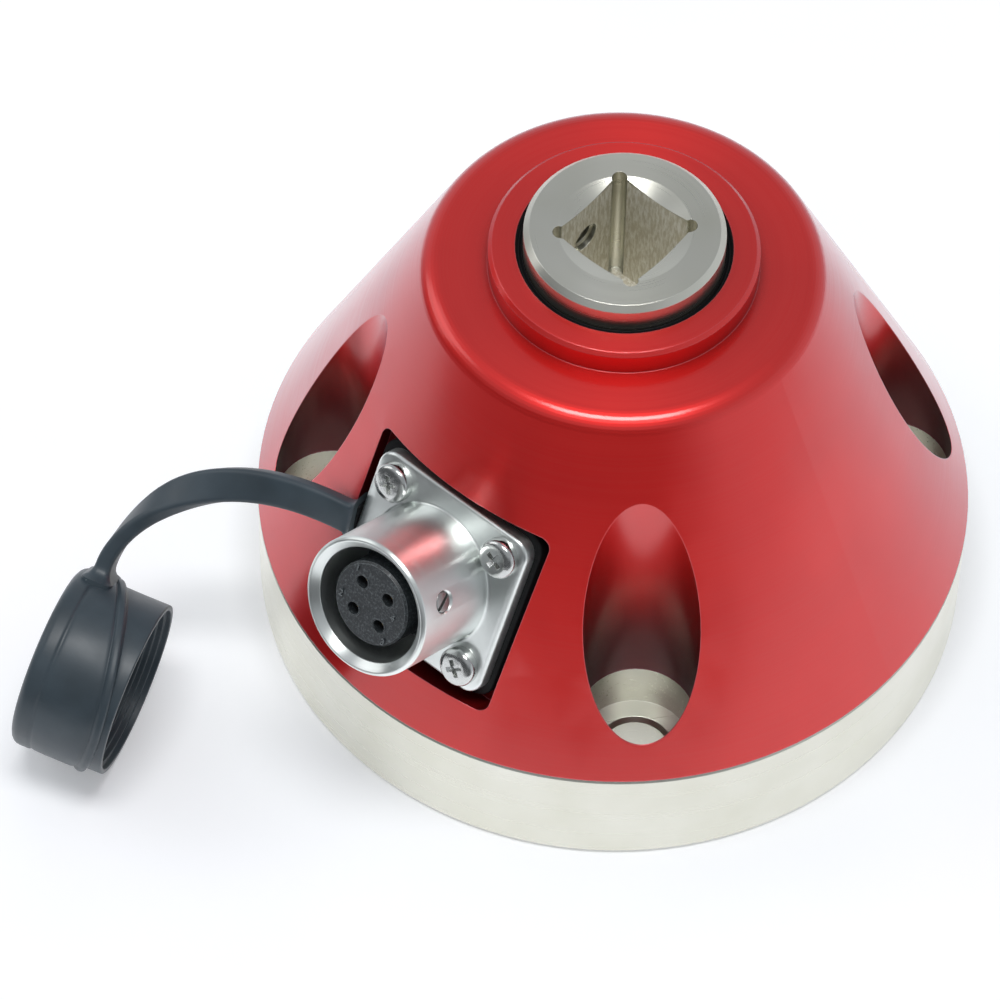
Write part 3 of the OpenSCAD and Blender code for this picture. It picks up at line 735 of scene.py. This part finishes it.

# %% [markdown]
# ## Patterns that several finishes share
# A Mix node that mixes colours gives them at its third output; BETWEEN_COLOURS says so once. A noise
# stays mostly between 0.3 and 0.7, so MID_NOISE stretches that range to whatever values are needed.
# Three patterns come back in many finishes. Cloudiness is a slow drift between two values over some
# millimetres. Lathe rings are fine lines round an axis: a noise that is read by distance from the
# axis and by height along it, and hardly by angle. Paler edges, mostly a painted highlight and partly
# wear, are found by comparing a normal that a Bevel node rounds with the true one: they differ only
# near edges.

# %% Shared patterns
BETWEEN_COLOURS = {"data_type": "RGBA", "out": 2}
MID_NOISE = {"From Min": 0.3, "From Max": 0.7}
RING_DRIFT = 0.00012


def cloudy(tree, place, size_mm, low_value=0.0, high_value=1.0, detail=2.0):
    """A value that drifts between two values over about size_mm."""
    cloud = add_node(tree, "TexNoise", {"Vector": place, "Scale": per_metre(size_mm), "Detail": detail})
    return add_node(tree, "MapRange", {
        **MID_NOISE, "Value": cloud, "To Min": low_value, "To Max": high_value,
    })


def lathe_rings(tree, place, centre, turn, spacing_mm):
    """Fine rings about an axis through centre; turn is the rotation that tilts Z to the axis."""
    upright = add_node(tree, "Mapping", {
        "Vector": place, "Location": centre, "Rotation": turn,
    }, vector_type="TEXTURE")
    parts = add_node(tree, "SeparateXYZ", {0: upright}).node.outputs
    level = add_node(tree, "CombineXYZ", {"X": parts["X"], "Y": parts["Y"]})
    radius = add_node(tree, "VectorMath", {0: level}, out="Value", operation="LENGTH")
    angle = add_node(tree, "Math", {0: parts["Y"], 1: parts["X"]}, operation="ARCTAN2")
    drift = add_node(tree, "Math", {0: angle, 1: RING_DRIFT}, operation="MULTIPLY")
    track = add_node(tree, "CombineXYZ", {"X": radius, "Y": drift, "Z": parts["Z"]})
    return add_node(tree, "TexNoise", {
        "Vector": track, "Scale": per_metre(spacing_mm), "Detail": 2.0, "Roughness": 0.6,
    })


def worn_edges(tree, radius_mm, most):
    """A value that is 0 on open faces and rises to most on sharp edges."""
    rounded = add_node(tree, "Bevel", {"Radius": radius_mm * MM}, samples=6)
    true = add_node(tree, "NewGeometry", out="Normal")
    alike = add_node(tree, "VectorMath", {0: rounded, 1: true}, out="Value", operation="DOT_PRODUCT")
    return add_node(tree, "MapRange", {
        "Value": alike, "From Min": 0.99, "From Max": 0.8, "To Max": most,
    })


def round_the_axis(tree, place, centre=(0, 0, 0), axis=(0, 0, 1)):
    """Way in which the lathe's rings run at each point: square to the axis and to the way outwards."""
    outwards = add_node(tree, "VectorMath", {0: place, 1: tuple(centre)}, operation="SUBTRACT")
    across = add_node(tree, "VectorMath", {0: tuple(axis), 1: outwards}, operation="CROSS_PRODUCT")
    return add_node(tree, "VectorMath", {0: across}, operation="NORMALIZE")


UPRIGHT = ((0, 0, 0), (0, 0, 0))
CONNECTOR_AXIS = (tuple(FLANGE_CENTRE), (CONNECTOR_TILT, 0, 0))
print("a ring spacing of 0.35 mm is a scale of", round(per_metre(0.35)))

# %% [markdown]
# ## Turned nickel-plated steel
# The foot, the torsion tube and the head are one piece of steel, turned on a lathe and plated with
# nickel, which is a little warmer and greener than chrome. The rings scatter light across them, so
# highlights are drawn out at right angles to the rings: that is the anisotropy. The square socket
# is broached after turning, so its walls are dull and grainy, with brown oil in the grain. The two
# finishes are one material, because the solid is one piece: a box of coordinates picks out the
# socket's faces.

# %% Turned nickel-plated steel
SOCKET_HALF_MM = 6.45
SOCKET_TOP_MM = 72.4


def nickel_steel():
    material, tree, place = new_material("nickel_plated_turned_steel")
    # Rings 0.35 mm apart: the real feed marks are 0.1 mm and would not show in the picture.
    rings = lathe_rings(tree, place, *UPRIGHT, 0.35)
    plated = add_node(tree, "Mix", {
        0: cloudy(tree, place, 11.0), 6: paint("#d8d7ca"), 7: paint("#e1e0d6"),
    }, **BETWEEN_COLOURS)
    # Painted highlight: the plated colour turns paler along the edges.
    plated = add_node(tree, "Mix", {
        0: worn_edges(tree, 0.3, 0.5), 6: plated, 7: paint("#ecebe6"),
    }, **BETWEEN_COLOURS)
    # Inside the socket: both level distances small, and below the head's face.
    parts = add_node(tree, "SeparateXYZ", {0: place}).node.outputs
    wide = add_node(tree, "Math", {0: parts["X"]}, operation="ABSOLUTE")
    deep = add_node(tree, "Math", {0: parts["Y"]}, operation="ABSOLUTE")
    reach = add_node(tree, "Math", {0: wide, 1: deep}, operation="MAXIMUM")
    near = add_node(tree, "Math", {0: reach, 1: SOCKET_HALF_MM * MM}, operation="LESS_THAN")
    below = add_node(tree, "Math", {0: parts["Z"], 1: SOCKET_TOP_MM * MM}, operation="LESS_THAN")
    inside = add_node(tree, "Math", {0: near, 1: below}, operation="MULTIPLY")
    # Broached grain: lines along the socket's depth, 0.45 mm apart, with specks of oil.
    stretched = add_node(tree, "Mapping", {"Vector": place, "Scale": (1, 1, 0.22)})
    grain = add_node(tree, "TexNoise", {
        "Vector": stretched, "Scale": per_metre(0.45), "Detail": 5.0, "Roughness": 0.7,
    })
    speck = add_node(tree, "MapRange", {"Value": grain, "From Min": 0.42, "From Max": 0.62})
    broached = add_node(tree, "Mix", {
        0: speck, 6: paint("#d2ccb8"), 7: paint("#f6f4ea"),
    }, **BETWEEN_COLOURS)
    colour = add_node(tree, "Mix", {0: inside, 6: plated, 7: broached}, **BETWEEN_COLOURS)
    turned_rough = add_node(tree, "MapRange", {
        **MID_NOISE, "Value": rings, "To Min": 0.27, "To Max": 0.31,
    })
    rough = add_node(tree, "Math", {0: inside, 1: 0.1, 2: turned_rough}, operation="MULTIPLY_ADD")
    height = add_node(tree, "Mix", {0: inside, 2: rings, 3: grain}, data_type="FLOAT")
    rounded = add_node(tree, "Bevel", {"Radius": 0.12 * MM}, samples=4)
    bump = add_node(tree, "Bump", {
        "Strength": 0.3, "Distance": 0.009 * MM, "Height": height, "Normal": rounded,
    })
    # A broached wall holds oil and dust, so less of its light is a mirror's.
    bare = add_node(tree, "Math", {0: inside, 1: -0.52, 2: 1.0}, operation="MULTIPLY_ADD")
    surface(tree, {
        "Base Color": colour, "Metallic": bare, "Roughness": rough, "Normal": bump,
        "Anisotropic": 0.45, "Anisotropic Rotation": 0.25, "Tangent": round_the_axis(tree, place),
    })
    return material


STEEL = nickel_steel()
print("material:", STEEL.name)

# %% [markdown]
# ## Red anodised aluminium
# The cover is turned from aluminium and anodised: the metal shines through a dyed, clear oxide
# layer. So the shader is a red metal under a clear coat that is a little rough. Seen at a low angle
# the coat mirrors the white room, which is why the cone's sides turn pale pink. Corners are paler:
# partly dye lost there first, partly a painted highlight. The bolt pockets are milled and shut in,
# and get painted shade: an Ambient Occlusion node finds them by how little of the room each point
# sees, and there the red is darkened and the coat lowered to half.

# %% Red anodised aluminium


def red_anodised():
    material, tree, place = new_material("red_anodised_turned_aluminium")
    # Rings 0.3 mm apart, coarser than the real 0.1 mm feed, so that they show at all.
    rings = lathe_rings(tree, place, *UPRIGHT, 0.3)
    dyed = add_node(tree, "Mix", {
        0: cloudy(tree, place, 16.0), 6: paint("#dc150f"), 7: paint("#e61b13"),
    }, **BETWEEN_COLOURS)
    fine = add_node(tree, "MapRange", {"Value": rings, "From Min": 0.35, "From Max": 0.65})
    faint = add_node(tree, "Math", {0: fine, 1: 0.05}, operation="MULTIPLY")
    dyed = add_node(tree, "Mix", {0: faint, 6: dyed, 7: paint("#e0574c")}, **BETWEEN_COLOURS)
    # Painted shade: where the Ambient Occlusion node sees little open room, the red turns deep and
    # dark.
    open_to_room = add_node(tree, "AmbientOcclusion", {"Distance": 24.0 * MM}, out="AO", samples=6)
    painted_shade_in_hollows = add_node(tree, "MapRange", {"Value": open_to_room, "From Min": 0.66, "From Max": 0.34})
    dyed = add_node(tree, "Mix", {0: painted_shade_in_hollows, 6: dyed, 7: paint("#7e0d0b")}, **BETWEEN_COLOURS)
    # The coat is lowered to half under the same painted shade, so the hollows mirror less of the room.
    gloss = add_node(tree, "MapRange", {"Value": painted_shade_in_hollows, "To Min": 1.0, "To Max": 0.5})
    # Paler edges: partly dye worn off, partly a painted highlight.
    edge = worn_edges(tree, 0.3, 0.45)
    colour = add_node(tree, "Mix", {0: edge, 6: dyed, 7: paint("#e8828a")}, **BETWEEN_COLOURS)
    rough = add_node(tree, "MapRange", {
        **MID_NOISE, "Value": rings, "To Min": 0.4, "To Max": 0.46,
    })
    rounded = add_node(tree, "Bevel", {"Radius": 0.2 * MM}, samples=4)
    bump = add_node(tree, "Bump", {
        "Strength": 0.25, "Distance": 0.008 * MM, "Height": rings, "Normal": rounded,
    })
    surface(tree, {
        "Base Color": colour, "Metallic": 0.85, "Roughness": rough, "Normal": bump,
        # At a low angle light crosses more dye, so the red fades there and the pale coat is left.
        "Specular Tint": paint("#8cecff"),
        "Anisotropic": 0.5, "Anisotropic Rotation": 0.25, "Tangent": round_the_axis(tree, place),
        "Coat Weight": gloss, "Coat Roughness": 0.18, "Coat IOR": 1.62, "Coat Normal": rounded,
    })
    return material


RED = red_anodised()
print("material:", RED.name)

# %% [markdown]
# ## Bright nickel of the connector
# The connector's shell is brass, turned, and plated with bright nickel: smoother and more neutral
# than the foot, with very fine rings about its own leaning axis.

# %% Bright nickel of the connector


def bright_nickel():
    material, tree, place = new_material("bright_nickel_plated_brass")
    rings = lathe_rings(tree, place, *CONNECTOR_AXIS, 0.28)
    colour = add_node(tree, "Mix", {
        0: cloudy(tree, place, 5.0), 6: paint("#e4e9e6"), 7: paint("#eef2f0"),
    }, **BETWEEN_COLOURS)
    # Painted highlight: the colour turns paler along the edges.
    colour = add_node(tree, "Mix", {
        0: worn_edges(tree, 0.25, 0.6), 6: colour, 7: paint("#f1f1ef"),
    }, **BETWEEN_COLOURS)
    rough = add_node(tree, "MapRange", {
        **MID_NOISE, "Value": rings, "To Min": 0.3, "To Max": 0.36,
    })
    bump = add_node(tree, "Bump", {"Strength": 0.25, "Distance": 0.004 * MM, "Height": rings})
    surface(tree, {
        "Base Color": colour, "Metallic": 1.0, "Roughness": rough, "Normal": bump,
        "Anisotropic": 0.6, "Anisotropic Rotation": 0.25,
        "Tangent": round_the_axis(tree, place, FLANGE_CENTRE, OUTWARD),
    })
    return material


NICKEL = bright_nickel()
print("material:", NICKEL.name)

# %% [markdown]
# ## Small metal parts
# Screws are rolled and plated in a barrel, where they knock each other, so they are bright with
# tiny dents. Brass and gold parts are turned. One recipe with its own colours and grain serves
# them all.

# %% Small metal parts


def small_metal(name, dark, light, rough, grain_mm, dent_mm):
    """A plated or turned metal: grain_mm is the size of its dents, dent_mm their depth."""
    material, tree, place = new_material(name)
    grain = add_node(tree, "TexNoise", {"Vector": place, "Scale": per_metre(grain_mm), "Detail": 3.0})
    colour = add_node(tree, "Mix", {0: grain, 6: paint(dark), 7: paint(light)}, **BETWEEN_COLOURS)
    roughness = add_node(tree, "MapRange", {
        **MID_NOISE, "Value": grain, "To Min": rough - 0.05, "To Max": rough + 0.06,
    })
    rounded = add_node(tree, "Bevel", {"Radius": 0.08 * MM}, samples=4)
    bump = add_node(tree, "Bump", {
        "Strength": 0.4, "Distance": dent_mm * MM, "Height": grain, "Normal": rounded,
    })
    surface(tree, {"Base Color": colour, "Metallic": 1.0, "Roughness": roughness, "Normal": bump})
    return material


SCREW_NICKEL = small_metal("nickel_plated_rolled_screws", "#bfc1bf", "#dcdddb", 0.18, 0.7, 0.05)
ZINC = small_metal("zinc_plated_steel", "#9a9c9c", "#b9bab7", 0.32, 0.5, 0.03)
BRASS = small_metal("turned_brass", "#b08d45", "#cda960", 0.3, 0.4, 0.02)
GOLD = small_metal("gold_plated_turned_contact", "#b98c34", "#dcb354", 0.28, 0.3, 0.01)
print("small metals:", [metal.name for metal in (SCREW_NICKEL, ZINC, BRASS, GOLD)])

# %% [markdown]
# ## Moulded rubber
# The cap and strap are slate grey rubber from a polished mould: dark, blue-grey, with one broad
# soft highlight and a few specks of pale dust. The plate and the seals are blacker. Rubber is
# not a metal, its index of refraction is 1.52, and its colour drifts a little where hands and the
# mould's talc have been.

# %% Moulded rubber


def rubber(name, dark, light, rough, dust, shine):
    """Moulded rubber: dust is how strongly pale specks show, shine how much gloss is left."""
    material, tree, place = new_material(name)
    colour = add_node(tree, "Mix", {
        0: cloudy(tree, place, 7.0, detail=4.0), 6: paint(dark), 7: paint(light),
    }, **BETWEEN_COLOURS)
    # Dust: one speck of about 0.3 mm in some cells of a 3.5 mm grid.
    cells = add_node(tree, "TexVoronoi", {"Vector": place, "Scale": per_metre(3.5)}).node.outputs
    close = add_node(tree, "MapRange", {"Value": cells["Distance"], "From Min": 0.05, "From Max": 0.03})
    lucky = add_node(tree, "SeparateColor", {0: cells["Color"]}, out="Red")
    some = add_node(tree, "Math", {0: lucky, 1: 0.22}, operation="LESS_THAN")
    speck = add_node(tree, "Math", {0: close, 1: some}, operation="MULTIPLY")
    speck = add_node(tree, "Math", {0: speck, 1: dust}, operation="MULTIPLY")
    colour = add_node(tree, "Mix", {0: speck, 6: colour, 7: paint("#b9bfc2")}, **BETWEEN_COLOURS)
    grain = add_node(tree, "TexNoise", {"Vector": place, "Scale": per_metre(0.35), "Detail": 3.0})
    roughness = cloudy(tree, place, 4.0, rough - 0.05, rough + 0.05, detail=3.0)
    bump = add_node(tree, "Bump", {"Strength": 0.3, "Distance": 0.012 * MM, "Height": grain})
    surface(tree, {
        "Base Color": colour, "Roughness": roughness, "IOR": 1.52, "Normal": bump,
        "Specular IOR Level": shine, "Sheen Weight": 0.08 * shine, "Sheen Roughness": 0.5,
    })
    return material


CAP_RUBBER = rubber("moulded_slate_rubber", "#2c373e", "#38444c", 0.42, 0.8, 0.5)
BLACK_RUBBER = rubber("moulded_black_rubber", "#0a0b0c", "#101113", 0.5, 0.5, 0.2)
print("rubbers:", CAP_RUBBER.name, BLACK_RUBBER.name)

# %% [markdown]
# ## Glass-filled plastic of the insulator
# The insulator is moulded from plastic with chopped glass, which leaves a grainy, glittering skin.
# One noise with several octaves makes its grain; the brightest grains are a paler grey, partly the
# glass, partly a painted glint. The rims of the small rings and of the numbers are paler, which is
# what makes the numbers legible.

# %% Glass-filled plastic and other plastics


def filled_plastic():
    material, tree, place = new_material("glass_filled_moulded_plastic")
    grain = add_node(tree, "TexNoise", {
        "Vector": place, "Scale": per_metre(0.32), "Detail": 4.0, "Roughness": 0.7,
    })
    # The brightest grains turn paler grey: partly the glass, partly a painted glint.
    pale_grain_and_glint = add_node(tree, "MapRange", {"Value": grain, "From Min": 0.5, "From Max": 0.72})
    colour = add_node(tree, "Mix", {
        0: pale_grain_and_glint, 6: paint("#23272a"), 7: paint("#5b6265"),
    }, **BETWEEN_COLOURS)
    colour = add_node(tree, "Mix", {
        0: worn_edges(tree, 0.12, 1.0), 6: colour, 7: paint("#9aa1a3"),
    }, **BETWEEN_COLOURS)
    rough = add_node(tree, "MapRange", {
        **MID_NOISE, "Value": grain, "To Min": 0.5, "To Max": 0.3,
    })
    bump = add_node(tree, "Bump", {"Strength": 0.6, "Distance": 0.04 * MM, "Height": grain})
    surface(tree, {"Base Color": colour, "Roughness": rough, "IOR": 1.55, "Normal": bump})
    return material


def thin_plastic(name, dark, light, rough, grain_mm):
    """Wire insulation, film or solder mask: a smooth plastic whose colour drifts a little."""
    material, tree, place = new_material(name)
    colour = add_node(tree, "Mix", {
        0: cloudy(tree, place, grain_mm), 6: paint(dark), 7: paint(light),
    }, **BETWEEN_COLOURS)
    grain = add_node(tree, "TexNoise", {
        "Vector": place, "Scale": per_metre(grain_mm / 3), "Detail": 3.0,
    })
    bump = add_node(tree, "Bump", {"Strength": 0.2, "Distance": 0.01 * MM, "Height": grain})
    roughness = cloudy(tree, place, grain_mm, rough - 0.05, rough + 0.05)
    surface(tree, {"Base Color": colour, "Roughness": roughness, "IOR": 1.5, "Normal": bump})
    return material


FINISHES = {
    "nickel_steel": STEEL,
    "red_anodised": RED,
    "black_rubber": BLACK_RUBBER,
    "zinc_screws": ZINC,
    "gauge_foil": thin_plastic("polyimide_gauge_film", "#7a4a12", "#b5772a", 0.35, 1.5),
    "board_green": thin_plastic("green_solder_mask", "#0f3d22", "#17522e", 0.35, 2.0),
    "brass_turned": BRASS,
    "wire_red": thin_plastic("red_wire_insulation", "#8f1418", "#b01c20", 0.4, 1.0),
    "wire_black": thin_plastic("black_wire_insulation", "#141414", "#1e1e1e", 0.4, 1.0),
    "wire_green": thin_plastic("green_wire_insulation", "#14602e", "#1c7a3c", 0.4, 1.0),
    "wire_white": thin_plastic("white_wire_insulation", "#cfcfc8", "#e2e2dc", 0.4, 1.0),
    "nickel_shell": NICKEL,
    "insulator_black": filled_plastic(),
    "contact_gold": GOLD,
    "bright_screws": SCREW_NICKEL,
    "cap_rubber": CAP_RUBBER,
}
slot_of = {row["node"]: row["material_slot"] for row in frame["record"]["subparts"]}
print("slots:", len(FINISHES), "nodes with a slot:", len(slot_of))

# %% [markdown]
# ## Giving the finishes
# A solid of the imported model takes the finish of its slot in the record, and a new piece that of
# the slot that it names. A solid's mesh is never changed, only its list of materials.

# %% Give the pieces their finishes
NEW_PIECES = [
    flange, barrel, side_screw, flange_screws, contact_rings, contact_mouths, contact_numbers,
    lip_seal, cord_ring, thread, rubber_plate, strap_root, rubber_cap,
]
for name, solid in frame["nodes"].items():
    solid.data.materials.clear()
    solid.data.materials.append(FINISHES[slot_of[name]])
for piece in NEW_PIECES:
    piece.data.materials.append(FINISHES[piece["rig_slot"]])
print("finished solids:", len(frame["nodes"]), "finished new pieces:", len(NEW_PIECES))

# %% [markdown]
# ## Table
# The sensor stands on a white table. Its surface keeps the soft shadow. To a camera or mirror ray
# the table also glows a little, so that it reads as white paper without more light on the object.
# It is a disc of 0.24 m radius, just wider than the picture: a wider one would be mirrored in the
# whole cone and wash its colour out.

# %% Table
TABLE_R = 0.24
GLOW_SEEN = 0.2
GLOW_MIRRORED = 0.3
disc_shape = bmesh.new()
bmesh.ops.create_circle(disc_shape, cap_ends=True, segments=96, radius=TABLE_R)
table_mesh = bpy.data.meshes.new("white_table")
disc_shape.to_mesh(table_mesh)
disc_shape.free()
table = bpy.data.objects.new("white_table", table_mesh)
scene.collection.objects.link(table)


def table_paper():
    material, tree, place = new_material("white_table_paper")
    colour = add_node(tree, "Mix", {
        0: cloudy(tree, place, 60.0), 6: paint("#ebecef"), 7: paint("#f2f3f5"),
    }, **BETWEEN_COLOURS)
    rays = add_node(tree, "LightPath").node.outputs
    seen = add_node(tree, "Math", {0: rays["Is Camera Ray"], 1: GLOW_SEEN}, operation="MULTIPLY")
    glow = add_node(tree, "Math", {
        0: rays["Is Glossy Ray"], 1: GLOW_MIRRORED, 2: seen,
    }, operation="MULTIPLY_ADD")
    paper = add_node(tree, "BsdfPrincipled", {"Base Color": colour, "Roughness": 0.7})
    light = add_node(tree, "Emission", {"Color": (1, 1, 1, 1), "Strength": glow})
    both = add_node(tree, "AddShader", {0: paper, 1: light})
    add_node(tree, "OutputMaterial", {"Surface": both})
    return material


table.data.materials.append(table_paper())
print("table radius in m:", TABLE_R)

# %% [markdown]
# ## Room
# A metal looks like what it mirrors, so the room matters more than the lamps. To the camera it is
# plain white. In mirrors it is pale at the sides and at the back, grey overhead, and dark low down
# where the photographer stands, which gives the cone its dark middle and pale flanks. The light
# that it sheds on dull surfaces is even.

# %% Room
ROOM_SIDE = 0.68
ROOM_DARK = 0.12
ROOM_ABOVE = 0.44
ROOM_LIGHT = 0.52
PHOTOGRAPHER = Vector((-0.1, -0.995, 0.0))

room = bpy.data.worlds.new("studio_room")
room.use_nodes = True
room.node_tree.nodes.clear()
scene.world = room
sky = room.node_tree
way = add_node(sky, "TexCoord", out="Generated")
towards = add_node(sky, "VectorMath", {
    0: way, 1: tuple(PHOTOGRAPHER),
}, out="Value", operation="DOT_PRODUCT")
darkness = add_node(sky, "MapRange", {
    "Value": towards, "From Min": -0.12, "From Max": 0.48, "To Min": ROOM_SIDE, "To Max": ROOM_DARK,
}, interpolation_type="SMOOTHSTEP")
height = add_node(sky, "SeparateXYZ", {0: way}, out="Z")
overhead = add_node(sky, "MapRange", {
    "Value": height, "From Min": 0.3, "From Max": 0.65,
}, interpolation_type="SMOOTHSTEP")
mirrored = add_node(sky, "Mix", {0: overhead, 2: darkness, 3: ROOM_ABOVE}, data_type="FLOAT")
rays = add_node(sky, "LightPath").node.outputs
with_gloss = add_node(sky, "Mix", {
    0: rays["Is Glossy Ray"], 2: ROOM_LIGHT, 3: mirrored,
}, data_type="FLOAT")
clear_view = add_node(sky, "Math", {
    0: rays["Is Camera Ray"], 1: rays["Is Transmission Ray"],
}, operation="MAXIMUM")
strength = add_node(sky, "Mix", {0: clear_view, 2: with_gloss, 3: 1.0}, data_type="FLOAT")
tint = add_node(sky, "Mix", {0: clear_view, 6: paint("#f5f9ff"), 7: (1, 1, 1, 1)}, **BETWEEN_COLOURS)
backdrop = add_node(sky, "Background", {"Color": tint, "Strength": strength})
add_node(sky, "OutputWorld", {"Surface": backdrop})
print("room light:", ROOM_LIGHT)

# %% [markdown]
# ## Lamps
# One softbox hangs almost straight above the sensor, a little to the camera's side. Rounded edges
# that face half way between it and the camera mirror it as a fine bright line. A weaker one fills
# from the left. Both are small in power: the room gives most of the light.

# %% Lamps
LAMP_AIM = mm(0, 0, 35)


def softbox(name, bearing, elevation, distance, size, power):
    """A rectangular lamp aimed at the sensor, from a bearing and an elevation in degrees."""
    turn, rise = math.radians(bearing), math.radians(elevation)
    above = Vector((math.cos(rise) * math.cos(turn), math.cos(rise) * math.sin(turn), math.sin(rise)))
    data = bpy.data.lights.new(name, "AREA")
    data.shape = "RECTANGLE"
    data.size, data.size_y = size
    data.energy = power
    lamp = bpy.data.objects.new(name, data)
    lamp.matrix_world = aimed(above * distance, LAMP_AIM)
    scene.collection.objects.link(lamp)


softbox("main_softbox", -52, 82, 1.2, (0.6, 0.3), 6.5)
softbox("left_softbox", 200, 35, 1.1, (0.5, 0.7), 1.4)
scene.view_settings.view_transform = "Standard"
